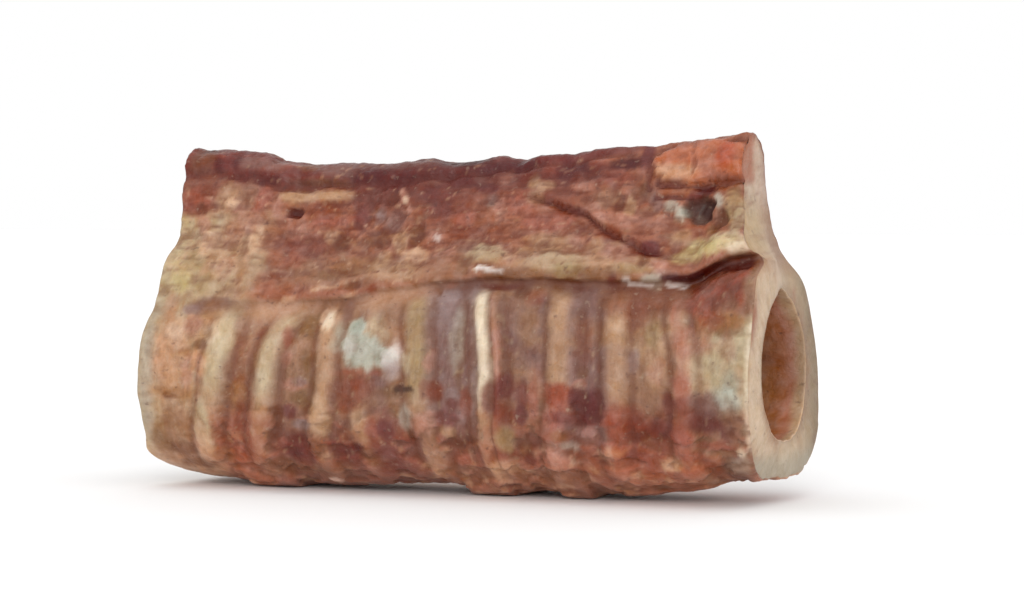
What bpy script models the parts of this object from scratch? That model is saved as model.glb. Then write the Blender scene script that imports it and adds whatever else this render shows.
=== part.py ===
# Dried veal trachea: one cut length of windpipe, closed rings below and the
# dried strip of muscle and fat still attached along its back.
#
# The tube runs along X and lies on the lowest lumps of its belly at z = 0.
# The strip stands up from its back as a fin that gets thinner towards the top,
# and its lower edge hangs over the rings as a lip on the -Y side.
# The bore runs right through, so both cut ends are open.
#
# Every section is a closed smooth curve through named key points.  A section is
# not flat: it follows the leaning rings, so one station of the loft is one line
# round the windpipe.  Station numbers are counted in rings: 0 is the left cut,
# 1 to 8 are the pale ligament bands, 9 is the right cut.
#
# Metres in the file's objects; the sizes below are in millimetres.

import math

import bmesh
import bpy
import numpy as np

MM = 0.001

# ---------------------------------------------------------------- driving sizes
TUBE_HALF_WIDTH = 17.9          # outer half width of the ringed tube
BELLY_HALF_FLAT = 5.6           # half width of the flattened belly
REST_HEIGHT = 0.65              # height of the resting plane in the profiles below
BORE_HALF_WIDTH = 12.1          # half width of the open bore
BAND_HEIGHT = 0.75              # how far a ligament band stands proud
BAND_HALF_LENGTH = 1.5          # half of its length along the tube
PANEL_DEPTH = 0.45              # how far the panel between two bands sinks in
RIM_FLARE = 0.5                 # the cut edges curl outwards by this much
LIP_OVERHANG = 2.3              # how far the strip's lower edge hangs over

# where the eight ligament bands cross three heights of the near side
BAND_HEIGHTS = (6.0, 20.0, 33.0)
BAND_LOW = (-41.8, -31.8, -20.8, -0.6, 9.6, 21.0, 31.0, 42.4)
BAND_MID = (-39.5, -30.0, -19.2, -2.1, 9.5, 22.8, 31.8, 43.2)
BAND_TOP = (-37.0, -27.0, -19.0, -3.9, 7.8, 21.4, 30.4, 40.6)
BAND_FAR_SHIFT = (1.2, 0.4, -1.4, 0.9, 1.6, -1.1, 0.7, -0.6)

# the two cuts: (height, x) on the near side and on the far side
LEFT_NEAR = ((3.0, -52.2), (6.0, -54.4), (9.6, -53.3), (13.0, -53.3),
             (16.5, -53.8), (23.0, -53.8), (28.0, -53.2), (31.0, -52.8),
             (36.0, -52.7), (42.5, -51.6), (46.8, -51.9), (50.7, -52.5),
             (57.0, -52.6))
LEFT_FAR = ((3.0, -51.6), (12.0, -53.4), (24.0, -52.6), (36.0, -52.2),
            (45.0, -51.4), (57.0, -52.5))
RIGHT_NEAR = ((3.0, 51.4), (8.0, 52.8), (13.0, 53.7), (20.0, 53.9),
              (34.0, 54.2), (38.5, 54.0), (41.0, 52.0), (45.0, 49.8),
              (50.0, 48.6), (58.0, 47.6))
RIGHT_FAR = ((3.0, 53.9), (11.0, 53.7), (17.0, 53.1), (26.5, 52.6),
             (32.0, 52.0), (36.0, 51.2), (38.5, 50.1), (41.0, 49.3),
             (49.0, 48.8), (58.0, 49.3))

# profiles along the piece: (x, height)
TOP_EDGE = ((-54.5, 57.0), (-44.0, 56.5), (-38.5, 56.2), (-34.2, 54.7),
            (-27.0, 54.2), (-15.0, 54.2), (-8.5, 54.8), (-4.0, 54.3),
            (1.5, 54.6), (5.1, 55.1), (8.7, 54.8), (12.2, 55.3), (15.8, 55.3),
            (19.4, 55.9), (26.5, 56.7), (33.7, 57.0), (40.8, 57.8), (48.0, 58.8))
LIP_LINE = ((-54.0, 31.4), (-30.0, 31.6), (-18.0, 32.7), (-8.0, 34.4),
            (6.0, 35.7), (20.0, 36.1), (35.0, 35.9), (42.0, 36.3),
            (45.5, 38.0), (48.0, 39.3), (54.0, 40.3))
FAR_SHOULDER = ((-55.0, 34.6), (-20.0, 36.2), (20.0, 36.9), (54.0, 38.4))
BELLY_SMOOTH = ((-55.0, 3.0), (-44.0, 1.7), (-30.0, 1.5), (-14.0, 1.7), (-3.0, 2.4),
                (4.0, 1.7), (30.0, 1.9), (42.0, 2.9), (48.0, 4.3), (54.0, 4.7))
BELLY_LUMPS = ((-55.0, 3.5), (-50.0, 2.3), (-43.0, 1.5), (-39.0, 1.4),
               (-36.5, 0.3), (-30.0, 0.3), (-27.0, 1.4), (-21.0, 1.6),
               (-12.0, 2.2), (-6.0, 2.7), (-0.5, 2.7), (3.5, 0.3), (9.5, 0.3),
               (12.0, 1.6), (15.0, 2.0), (17.2, 1.4), (18.8, 0.4), (22.4, 0.4),
               (24.5, 1.4), (29.0, 1.5), (33.0, 2.0), (36.0, 2.6), (39.5, 3.0),
               (43.0, 3.8), (46.0, 4.8), (54.0, 4.6))
BORE_AXIS = ((-55.0, 17.9), (-20.0, 17.6), (10.0, 18.0), (36.0, 19.8), (54.0, 22.8))
BORE_HALF_HEIGHT = ((-55.0, 11.2), (0.0, 12.1), (54.0, 12.4))

# counts: stations in one ring, points round a section
STATIONS_IN_RING = (0.0, 0.13, 0.32, 0.5, 0.68, 0.87)
RIM_RINGS = 2                   # rows of faces across the wall at each cut


def curve(x, knots):
    """Smooth curve without overshoot through a few (x, value) knots."""
    kx = np.array([k[0] for k in knots], float)
    ky = np.array([k[1] for k in knots], float)
    h = np.diff(kx)
    d = np.diff(ky) / h
    m = np.empty_like(ky)
    m[0], m[-1] = d[0], d[-1]
    same = d[:-1] * d[1:] > 0
    mean = np.where(same, 2 * d[:-1] * d[1:] / np.where(same, d[:-1] + d[1:], 1), 0)
    m[1:-1] = mean
    x = np.clip(np.asarray(x, float), kx[0], kx[-1])
    i = np.clip(np.searchsorted(kx, x, side="right") - 1, 0, len(h) - 1)
    t = (x - kx[i]) / h[i]
    t2, t3 = t * t, t * t * t
    return (ky[i] * (2 * t3 - 3 * t2 + 1) + m[i] * h[i] * (t3 - 2 * t2 + t)
            + ky[i + 1] * (3 * t2 - 2 * t3) + m[i + 1] * h[i] * (t3 - t2))


def smoothstep(a, b, x):
    t = np.clip((np.asarray(x, float) - a) / (b - a), 0.0, 1.0)
    return t * t * (3 - 2 * t)


def station_x(r, y, z):
    """x of station r where the section passes (y, z): cuts and bands lean."""
    r, y, z = np.broadcast_arrays(np.asarray(r, float), np.asarray(y, float),
                                  np.asarray(z, float))
    far = smoothstep(-8.0, 8.0, y)
    knots = [curve(z, LEFT_NEAR) * (1 - far) + curve(z, LEFT_FAR) * far]
    low = 1 - smoothstep(BAND_HEIGHTS[0], BAND_HEIGHTS[1], z)
    top = smoothstep(BAND_HEIGHTS[1], BAND_HEIGHTS[2], z)
    for k in range(8):
        x = (BAND_MID[k] + (BAND_LOW[k] - BAND_MID[k]) * low
             + (BAND_TOP[k] - BAND_MID[k]) * top)
        knots.append(x + BAND_FAR_SHIFT[k] * far)
    knots.append(curve(z, RIGHT_NEAR) * (1 - far) + curve(z, RIGHT_FAR) * far)
    q = np.stack(knots, 0)
    d = np.diff(q, axis=0)
    m = np.empty_like(q)
    m[0], m[-1] = d[0], d[-1]
    m[1:-1] = 2 * d[:-1] * d[1:] / (d[:-1] + d[1:])
    i = np.clip(np.floor(r).astype(int), 0, 8)
    t = r - i
    take = lambda arr, j: np.take_along_axis(arr, j[None], 0)[0]
    a, b, ma, mb = take(q, i), take(q, i + 1), take(m, i), take(m, i + 1)
    t2, t3 = t * t, t * t * t
    return (a * (2 * t3 - 3 * t2 + 1) + ma * (t3 - 2 * t2 + t)
            + b * (3 * t2 - 2 * t3) + mb * (t3 - t2))


def key_points(r):
    """The 26 key points (y, z) of the section at station r, belly first,
    up the near side, over the strip's top edge and down the far side."""
    x_low = station_x(r, 0.0, 2.0)
    x_lip = station_x(r, -11.0, 36.0)
    x_top = station_x(r, 0.0, 56.0)
    zb = curve(x_low, BELLY_LUMPS)
    zs = curve(x_low, BELLY_SMOOTH)
    zl = curve(x_lip, LIP_LINE)
    zt = curve(x_top, TOP_EDGE)
    zf = curve(x_lip, FAR_SHOULDER)
    w = TUBE_HALF_WIDTH
    h, hf = zl - zs, zf - zs
    # the lip hangs over a crease, except at the left cut, where the strip
    # runs smoothly into the tube
    creased = float(smoothstep(-50.0, -20.0, x_lip))
    hang = LIP_OVERHANG * (0.55 + 0.45 * smoothstep(-20.0, -4.0, x_lip))
    # the strip is thinner at the right cut, where its side falls steeply
    thin = smoothstep(26.0, 47.0, x_lip)
    # near that cut the crease under the lip opens into a deep crevice
    deep = smoothstep(36.0, 45.0, x_lip)
    mid = zl + 0.42 * (zt - zl)
    high = zl + 0.74 * (zt - zl)

    def lip(smooth, folded):
        return (smooth[0] + (folded[0] - smooth[0]) * creased,
                smooth[1] + (folded[1] - smooth[1]) * creased)

    belly_edge = 0.5 * zb + 0.5 * zs + 0.1 if zb > REST_HEIGHT else zb
    pts = [
        (0.0, zb),
        (-BELLY_HALF_FLAT, belly_edge),
        (-12.6, zs + 0.105 * h),
        (-w * 0.948, zs + 0.29 * h),
        (-w, zs + 0.49 * h),
        lip((-w * 0.945, zl - 6.4), (-w * 0.915, zs + 0.715 * h)),
        lip((-w * 0.87, zl - 2.9), (-w * 0.80, zl - 4.0)),
        lip((-w * 0.80, zl - 0.4), (-12.2 + 1.7 * deep, zl - 0.9)),
        lip((-w * 0.755, zl + 1.4), (-12.4 - 0.3 * hang + 0.5 * deep, zl + 0.3)),
        lip((-w * 0.70, zl + 3.8), (-11.6 - 0.4 * hang + 1.0 * thin, zl + 2.2)),
        lip((-w * 0.61, zl + 7.2), (-10.4 + 1.6 * thin, zl + 4.6)),
        (-8.2 + 1.6 * thin, mid),
        (-5.6 + 1.0 * thin, high),
        (-3.0 + 0.5 * thin, zt - 1.3),
        (-0.3, zt),
        (2.3 - 0.3 * thin, zt - 1.1),
        (5.0 - 1.4 * thin, high),
        (7.8 - 2.6 * thin, mid + 0.4),
        (10.2 - 2.4 * thin, zf + 4.4),
        (12.0 - 1.1 * thin, zf + 0.9),
        (14.2 + 0.7 * thin, zf - 3.2 + 0.2 * thin),
        (w * 0.925, zs + 0.70 * hf),
        (w, zs + 0.485 * hf),
        (w * 0.948, zs + 0.285 * hf),
        (12.6, zs + 0.10 * hf),
        (BELLY_HALF_FLAT, belly_edge),
    ]
    return np.array([(float(a), float(b)) for a, b in pts])


def closed_curve(keys, v):
    """Centripetal Catmull-Rom curve round the key points, v in key units."""
    n = len(keys)
    v = np.asarray(v, float) % n
    i = np.floor(v).astype(int) % n
    t = (v - np.floor(v))[:, None]
    p0, p1, p2, p3 = (keys[(i + k) % n] for k in (-1, 0, 1, 2))
    d01 = np.sqrt(np.linalg.norm(p1 - p0, axis=1))[:, None]
    d12 = np.sqrt(np.linalg.norm(p2 - p1, axis=1))[:, None]
    d23 = np.sqrt(np.linalg.norm(p3 - p2, axis=1))[:, None]
    m1 = (p2 - p1) + d12 * ((p1 - p0) / d01 - (p2 - p0) / (d01 + d12))
    m2 = (p2 - p1) + d12 * ((p3 - p2) / d23 - (p3 - p1) / (d12 + d23))
    t2, t3 = t * t, t * t * t
    return (p1 * (2 * t3 - 3 * t2 + 1) + m1 * (t3 - 2 * t2 + t)
            + p2 * (3 * t2 - 2 * t3) + m2 * (t3 - t2))


def ring_relief(r, y, z):
    """Height in mm of bands (ridges) and panels (hollows) at station r."""
    here = station_x(r, y, z)
    k = np.clip(np.round(r), 1, 8)
    gap = here - station_x(k, y, z)
    ridge = np.exp(-(gap / BAND_HALF_LENGTH) ** 2)
    f = np.abs(r - np.round(r))
    hollow = smoothstep(0.1, 0.42, f)
    inside = smoothstep(0.0, 0.5, r) * (1 - smoothstep(8.5, 9.0, r))
    rim = 1 - smoothstep(0.0, 0.35, np.minimum(r, 9 - r))
    return BAND_HEIGHT * ridge - PANEL_DEPTH * hollow * inside + RIM_FLARE * rim


def flank_mask(v):
    """1 on the two ringed flanks, 0 on the belly, in the crease, on the strip."""
    near = smoothstep(1.2, 2.6, v) * (1 - smoothstep(5.6, 6.8, v))
    far = smoothstep(19.6, 20.8, v) * (1 - smoothstep(23.4, 24.8, v))
    return near + far


# round the section: belly to near crease, up the strip, its top edge, down the
# far side of the strip, far flank back to the belly
V_TUBE_NEAR = (0.0, 1.0, 1.5, 2.0, 2.5, 3.0, 3.5, 4.0, 4.5, 5.0, 5.6, 6.3, 7.0)
V_STRIP_NEAR = (8.0, 9.0, 10.0, 11.0, 12.0, 13.0)
V_STRIP_TOP = (14.0,)
V_STRIP_FAR = (15.0, 16.0, 17.0, 17.5, 18.0, 18.5, 19.0)
V_TUBE_FAR = (19.6, 20.2, 20.7, 21.0, 21.5, 22.0, 22.5, 23.0, 23.5, 24.0, 25.0)


def section(r, v):
    """Points (x, y, z) in mm of the outer skin at station r."""
    v = np.asarray(v, float)
    yz = closed_curve(key_points(r), v)
    y, z = yz[:, 0], yz[:, 1]
    axis = float(curve(station_x(r, 0.0, 18.0), BORE_AXIS))
    dy, dz = y, z - axis
    length = np.hypot(dy, dz)
    push = ring_relief(np.full_like(y, r), y, z) * flank_mask(v)
    y = y + push * dy / length
    z = np.maximum(z + push * dz / length, REST_HEIGHT)
    x = station_x(np.full_like(y, r), y, z)
    return np.stack([x, y, z], 1)


def bore_section(r, count_near, count_top, count_far):
    """Points (x, y, z) in mm of the bore, from its floor up the near side."""
    x_mid = float(station_x(r, 0.0, 18.0))
    zc = float(curve(x_mid, BORE_AXIS))
    b = float(curve(x_mid, BORE_HALF_HEIGHT))
    a = BORE_HALF_WIDTH + 0.25 * math.cos(2 * math.pi * r)
    # the angle is measured from straight down, towards the near side
    open_top = math.radians(38.0)
    near = np.linspace(0.0, math.pi - open_top, count_near)
    top = np.linspace(math.pi - open_top, math.pi + open_top, count_top + 2)[1:-1]
    far = np.linspace(math.pi + open_top, 2 * math.pi, count_far + 1)[:-1]
    ang = np.concatenate([near, top, far])
    y = -a * np.sin(ang)
    z = zc - b * np.cos(ang)
    # the back of the bore is flatter than its floor
    z = np.where(z > zc + 0.8 * b, zc + 0.8 * b + 0.85 * (z - zc - 0.8 * b), z)
    x = station_x(np.full_like(y, r), y * 1.3, z)
    return np.stack([x, y, z], 1)


def build_trachea():
    v_all = np.array(V_TUBE_NEAR + V_STRIP_NEAR + V_STRIP_TOP + V_STRIP_FAR + V_TUBE_FAR)
    nj = len(V_TUBE_NEAR) - 1               # index of the near crease
    m = len(V_STRIP_NEAR)                   # rungs up the strip
    top = len(V_STRIP_TOP)                  # inner points of its top edge
    fj = nj + m + top + 1 + m               # index of the far junction
    n = len(v_all)
    stations = [k + f for k in range(9) for f in STATIONS_IN_RING] + [9.0]

    bm = bmesh.new()

    def add_ring(points):
        return [bm.verts.new(p * MM) for p in points]

    outer = [add_ring(section(r, v_all)) for r in stations]
    bore = [add_ring(bore_section(r, nj + 1, top, n - fj)) for r in stations]
    count = len(bore[0])

    def skin(rings, size, outwards):
        for a, b in zip(rings[:-1], rings[1:]):
            for j in range(size):
                k = (j + 1) % size
                quad = (a[j], b[j], b[k], a[k])
                bm.faces.new(quad if outwards else quad[::-1])

    skin(outer, n, True)
    skin(bore, count, False)

    def close_end(rim, hole, outwards):
        def face(*verts):
            bm.faces.new(verts if outwards else verts[::-1])

        # strip: rungs from its near side to its far side
        rungs = []
        for i in range(m + 1):
            a, b = rim[nj + i], rim[fj - i]
            if i == m:
                inner = [rim[nj + m + 1 + t] for t in range(top)]
            else:
                inner = [bm.verts.new(a.co.lerp(b.co, (t + 1) / (top + 1)))
                         for t in range(top)]
            rungs.append([a] + inner + [b])
        for lower, upper in zip(rungs[:-1], rungs[1:]):
            for t in range(top + 1):
                face(lower[t], lower[t + 1], upper[t + 1], upper[t])
        # wall: rows from the outer skin to the bore
        loop = rim[:nj + 1] + rungs[0][1:-1] + rim[fj:]
        previous = loop
        for row in range(1, RIM_RINGS + 1):
            if row == RIM_RINGS:
                nxt = hole
            else:
                nxt = [bm.verts.new(loop[j].co.lerp(hole[j].co, row / RIM_RINGS))
                       for j in range(count)]
            for j in range(count):
                k = (j + 1) % count
                face(previous[j], previous[k], nxt[k], nxt[j])
            previous = nxt

    close_end(outer[-1], bore[-1], True)
    close_end(outer[0], bore[0], False)

    # origin: middle of the bounding box, on the surface it lies on
    lo = [min(v.co[i] for v in bm.verts) for i in range(3)]
    hi = [max(v.co[i] for v in bm.verts) for i in range(3)]
    for v in bm.verts:
        v.co.x -= (lo[0] + hi[0]) / 2
        v.co.y -= (lo[1] + hi[1]) / 2
        v.co.z = max(v.co.z - lo[2], 0.0)

    bmesh.ops.triangulate(bm, faces=bm.faces[:], quad_method="SHORT_EDGE")
    bmesh.ops.recalc_face_normals(bm, faces=bm.faces[:])
    mesh = bpy.data.meshes.new("trachea")
    bm.to_mesh(mesh)
    bm.free()
    mesh.shade_smooth()
    mesh.set_sharp_from_angle(angle=math.radians(50))
    obj = bpy.data.objects.new("trachea", mesh)
    bpy.context.scene.collection.objects.link(obj)
    return obj


def tissue_material():
    mat = bpy.data.materials.new("dried_tissue")
    mat.use_nodes = True
    bsdf = mat.node_tree.nodes["Principled BSDF"]
    bsdf.inputs["Base Color"].default_value = (0.305, 0.162, 0.107, 1.0)
    bsdf.inputs["Roughness"].default_value = 0.55
    bsdf.inputs["Metallic"].default_value = 0.0
    mat.diffuse_color = (0.305, 0.162, 0.107, 1.0)
    return mat


for old in list(bpy.data.objects):
    bpy.data.objects.remove(old, do_unlink=True)

trachea = build_trachea()
trachea.data.materials.append(tissue_material())
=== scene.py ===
# Looks of one cut length of dried veal windpipe: a ringed tube with an open bore
# and, grown along its back, a strip of dried muscle and fat whose lower edge
# hangs over the rings.
#
# The skin is one dense mesh, lofted from the same sections as the construction
# model.  Its relief (rings, wrinkles, fibre bundles, folds, pits, torn remains)
# is real geometry.  Each kind of tissue is a mask worked out at every vertex and
# stored on the mesh; the material's nodes add fibres, pores and sheen below that.

import math

import bpy
import numpy as np
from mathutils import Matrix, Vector


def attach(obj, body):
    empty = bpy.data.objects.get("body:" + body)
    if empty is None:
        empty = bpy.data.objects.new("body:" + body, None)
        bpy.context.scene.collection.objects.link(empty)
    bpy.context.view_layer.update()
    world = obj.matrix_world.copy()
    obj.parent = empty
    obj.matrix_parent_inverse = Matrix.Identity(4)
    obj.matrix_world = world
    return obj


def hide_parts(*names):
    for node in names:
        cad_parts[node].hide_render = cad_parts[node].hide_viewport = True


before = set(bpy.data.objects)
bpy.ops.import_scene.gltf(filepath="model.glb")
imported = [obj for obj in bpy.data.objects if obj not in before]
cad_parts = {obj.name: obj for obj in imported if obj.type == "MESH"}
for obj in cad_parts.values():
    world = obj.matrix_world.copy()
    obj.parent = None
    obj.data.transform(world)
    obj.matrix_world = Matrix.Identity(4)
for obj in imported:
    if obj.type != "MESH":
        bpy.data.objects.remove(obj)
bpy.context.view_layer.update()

MM = 0.001

# ------------------------------------------------------------------ sizes in mm
TUBE_HALF_WIDTH = 17.9
BELLY_HALF_FLAT = 5.6
REST_HEIGHT = 0.65              # height of the resting plane in the profiles below
BORE_HALF_WIDTH = 12.1
BAND_HEIGHT = 0.75
BAND_HALF_LENGTH = 1.5
PANEL_DEPTH = 0.45
RIM_FLARE = 0.5
LIP_OVERHANG = 2.3
ORIGIN_SHIFT = 0.5441           # from the profiles' x to the x used for the marks below
SETTLE = (-0.5246, 0.0, -REST_HEIGHT)   # last move: box centred on the origin, resting on z = 0
EDGE_ROUND = 0.8                # radius worn onto the outer edges of the two cuts
BORE_ROUND = 0.5                # and onto the mouths of the bore

BAND_HEIGHTS = (6.0, 20.0, 33.0)
BAND_LOW = (-41.8, -31.8, -20.8, -0.6, 9.6, 21.0, 31.0, 42.4)
BAND_MID = (-39.5, -30.0, -19.2, -2.1, 9.5, 22.8, 31.8, 43.2)
BAND_TOP = (-37.0, -27.0, -19.0, -3.9, 7.8, 21.4, 30.4, 40.6)
BAND_FAR_SHIFT = (1.2, 0.4, -1.4, 0.9, 1.6, -1.1, 0.7, -0.6)

LEFT_NEAR = ((3.0, -52.2), (6.0, -54.4), (9.6, -53.3), (13.0, -53.3),
             (16.5, -53.8), (23.0, -53.8), (28.0, -53.2), (31.0, -52.8),
             (36.0, -52.7), (42.5, -51.6), (46.8, -51.9), (50.7, -52.5),
             (57.0, -52.6))
LEFT_FAR = ((3.0, -51.6), (12.0, -53.4), (24.0, -52.6), (36.0, -52.2),
            (45.0, -51.4), (57.0, -52.5))
RIGHT_NEAR = ((3.0, 51.4), (8.0, 52.8), (13.0, 53.7), (20.0, 53.9),
              (34.0, 54.2), (38.5, 54.0), (41.0, 52.0), (45.0, 49.8),
              (50.0, 48.6), (58.0, 47.6))
RIGHT_FAR = ((3.0, 53.9), (11.0, 53.7), (17.0, 53.1), (26.5, 52.6),
             (32.0, 52.0), (36.0, 51.2), (38.5, 50.1), (41.0, 49.3),
             (49.0, 48.8), (58.0, 49.3))

TOP_EDGE = ((-54.5, 57.0), (-44.0, 56.5), (-38.5, 56.2), (-34.2, 54.7),
            (-27.0, 54.2), (-15.0, 54.2), (-8.5, 54.8), (-4.0, 54.3),
            (1.5, 54.6), (5.1, 55.1), (8.7, 54.8), (12.2, 55.3), (15.8, 55.3),
            (19.4, 55.9), (26.5, 56.7), (33.7, 57.0), (40.8, 57.8), (48.0, 58.8))
LIP_LINE = ((-54.0, 31.4), (-30.0, 31.6), (-18.0, 32.7), (-8.0, 34.4),
            (6.0, 35.7), (20.0, 36.1), (35.0, 35.9), (42.0, 36.3),
            (45.5, 38.0), (48.0, 39.3), (54.0, 40.3))
FAR_SHOULDER = ((-55.0, 34.6), (-20.0, 36.2), (20.0, 36.9), (54.0, 38.4))
BELLY_SMOOTH = ((-55.0, 3.0), (-44.0, 1.7), (-30.0, 1.5), (-14.0, 1.7), (-3.0, 2.4),
                (4.0, 1.7), (30.0, 1.9), (42.0, 2.9), (48.0, 4.3), (54.0, 4.7))
BELLY_LUMPS = ((-55.0, 3.5), (-50.0, 2.3), (-43.0, 1.5), (-39.0, 1.4),
               (-36.5, 0.3), (-30.0, 0.3), (-27.0, 1.4), (-21.0, 1.6),
               (-12.0, 2.2), (-6.0, 2.7), (-0.5, 2.7), (3.5, 0.3), (9.5, 0.3),
               (12.0, 1.6), (15.0, 2.0), (17.2, 1.4), (18.8, 0.4), (22.4, 0.4),
               (24.5, 1.4), (29.0, 1.5), (33.0, 2.0), (36.0, 2.6), (39.5, 3.0),
               (43.0, 3.8), (46.0, 4.8), (54.0, 4.6))
BORE_AXIS = ((-55.0, 17.9), (-20.0, 17.6), (10.0, 18.0), (36.0, 19.8), (54.0, 22.8))
BORE_HALF_HEIGHT = ((-55.0, 11.2), (0.0, 12.1), (54.0, 12.4))

# ------------------------------------------------------------------ mesh counts
STATIONS = 268                  # along the piece, without the extra rim rows
N_TUBE_NEAR = 104               # belly to the crease, side the photo shows
N_TUBE_FAR = 74                 # far shoulder back to the belly
N_STRIP = 50                    # up each side of the strip
N_TOP = 10                      # across its top edge
RIM_ROWS = 9                    # across the wall at each cut
BORE_STATIONS = 46


# =================================================================== basic tools
def smoothstep(a, b, x):
    t = np.clip((np.asarray(x, float) - a) / (b - a), 0.0, 1.0)
    return t * t * (3 - 2 * t)


def mix(a, b, t):
    return a + (b - a) * t


def bump(x, centre, half):
    """1 at the centre, 0 beyond the half width, rounded like a hill."""
    t = np.clip(1 - ((x - centre) / half) ** 2, 0, 1)
    return t * t


def curve(x, knots):
    """Smooth curve without overshoot through a few (x, value) knots."""
    kx = np.array([k[0] for k in knots], float)
    ky = np.array([k[1] for k in knots], float)
    h = np.diff(kx)
    d = np.diff(ky) / h
    m = np.empty_like(ky)
    m[0], m[-1] = d[0], d[-1]
    same = d[:-1] * d[1:] > 0
    m[1:-1] = np.where(same, 2 * d[:-1] * d[1:] / np.where(same, d[:-1] + d[1:], 1), 0)
    x = np.clip(np.asarray(x, float), kx[0], kx[-1])
    i = np.clip(np.searchsorted(kx, x, side="right") - 1, 0, len(h) - 1)
    t = (x - kx[i]) / h[i]
    t2, t3 = t * t, t * t * t
    return (ky[i] * (2 * t3 - 3 * t2 + 1) + m[i] * h[i] * (t3 - 2 * t2 + t)
            + ky[i + 1] * (3 * t2 - 2 * t3) + m[i + 1] * h[i] * (t3 - t2))


class Noise:
    """Gradient noise on a seeded lattice, about -1 to 1."""

    def __init__(self, seed):
        rng = np.random.RandomState(seed)
        p = rng.permutation(256)
        self.p = np.concatenate([p, p])
        g = rng.normal(size=(256, 3))
        self.g = g / np.linalg.norm(g, axis=1)[:, None]

    def __call__(self, x, y, z):
        x, y, z = np.broadcast_arrays(x, y, z)
        xi, yi, zi = np.floor(x), np.floor(y), np.floor(z)
        xf, yf, zf = x - xi, y - yi, z - zi
        xi, yi, zi = (a.astype(np.int64) & 255 for a in (xi, yi, zi))
        u, v, w = (t * t * t * (t * (t * 6 - 15) + 10) for t in (xf, yf, zf))
        out = 0
        for a in (0, 1):
            for b in (0, 1):
                for c in (0, 1):
                    h = self.p[self.p[self.p[(xi + a) & 255] + ((yi + b) & 255)] + ((zi + c) & 255)]
                    g = self.g[h]
                    dot = (g[..., 0] * (xf - a) + g[..., 1] * (yf - b) + g[..., 2] * (zf - c))
                    wt = ((u if a else 1 - u) * (v if b else 1 - v) * (w if c else 1 - w))
                    out = out + dot * wt
        return out * 1.55


def fbm(seed, p, scale, octaves=4, gain=0.5):
    """Layered noise at points p; scale is the coarsest size in mm per axis."""
    n = Noise(seed)
    sx, sy, sz = scale if hasattr(scale, "__len__") else (scale,) * 3
    out, amp, total, f = 0, 1.0, 0.0, 1.0
    for o in range(octaves):
        out = out + amp * n(p[..., 0] * f / sx + 11.7 * o, p[..., 1] * f / sy + 5.3 * o,
                            p[..., 2] * f / sz + 3.1 * o)
        total += amp
        amp *= gain
        f *= 2.03
    return out / total


def ridged(seed, p, scale, octaves=3, gain=0.5):
    """Sharp crests between soft hollows, 0 to 1."""
    n = Noise(seed)
    sx, sy, sz = scale if hasattr(scale, "__len__") else (scale,) * 3
    out, amp, total, f = 0, 1.0, 0.0, 1.0
    for o in range(octaves):
        v = n(p[..., 0] * f / sx + 7.9 * o, p[..., 1] * f / sy + 2.3 * o,
              p[..., 2] * f / sz + 9.1 * o)
        out = out + amp * (1 - np.minimum(np.abs(v) * 1.9, 1)) ** 2
        total += amp
        amp *= gain
        f *= 2.03
    return out / total


def srgb(r, g, b):
    c = np.array([r, g, b], float) / 255.0
    return np.where(c <= 0.04045, c / 12.92, ((c + 0.055) / 1.055) ** 2.4)


# ==================================================================== the shape
def station_x(r, y, z):
    r, y, z = np.broadcast_arrays(np.asarray(r, float), np.asarray(y, float),
                                  np.asarray(z, float))
    far = smoothstep(-8.0, 8.0, y)
    knots = [curve(z, LEFT_NEAR) * (1 - far) + curve(z, LEFT_FAR) * far]
    low = 1 - smoothstep(BAND_HEIGHTS[0], BAND_HEIGHTS[1], z)
    top = smoothstep(BAND_HEIGHTS[1], BAND_HEIGHTS[2], z)
    for k in range(8):
        x = (BAND_MID[k] + (BAND_LOW[k] - BAND_MID[k]) * low
             + (BAND_TOP[k] - BAND_MID[k]) * top)
        knots.append(x + BAND_FAR_SHIFT[k] * far)
    knots.append(curve(z, RIGHT_NEAR) * (1 - far) + curve(z, RIGHT_FAR) * far)
    q = np.stack(knots, 0)
    d = np.diff(q, axis=0)
    m = np.empty_like(q)
    m[0], m[-1] = d[0], d[-1]
    m[1:-1] = 2 * d[:-1] * d[1:] / (d[:-1] + d[1:])
    i = np.clip(np.floor(r).astype(int), 0, 8)
    t = r - i

    def take(arr, j):
        return np.take_along_axis(arr, j[None], 0)[0]

    a, b, ma, mb = take(q, i), take(q, i + 1), take(m, i), take(m, i + 1)
    t2, t3 = t * t, t * t * t
    return (a * (2 * t3 - 3 * t2 + 1) + ma * (t3 - 2 * t2 + t)
            + b * (3 * t2 - 2 * t3) + mb * (t3 - t2))


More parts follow.
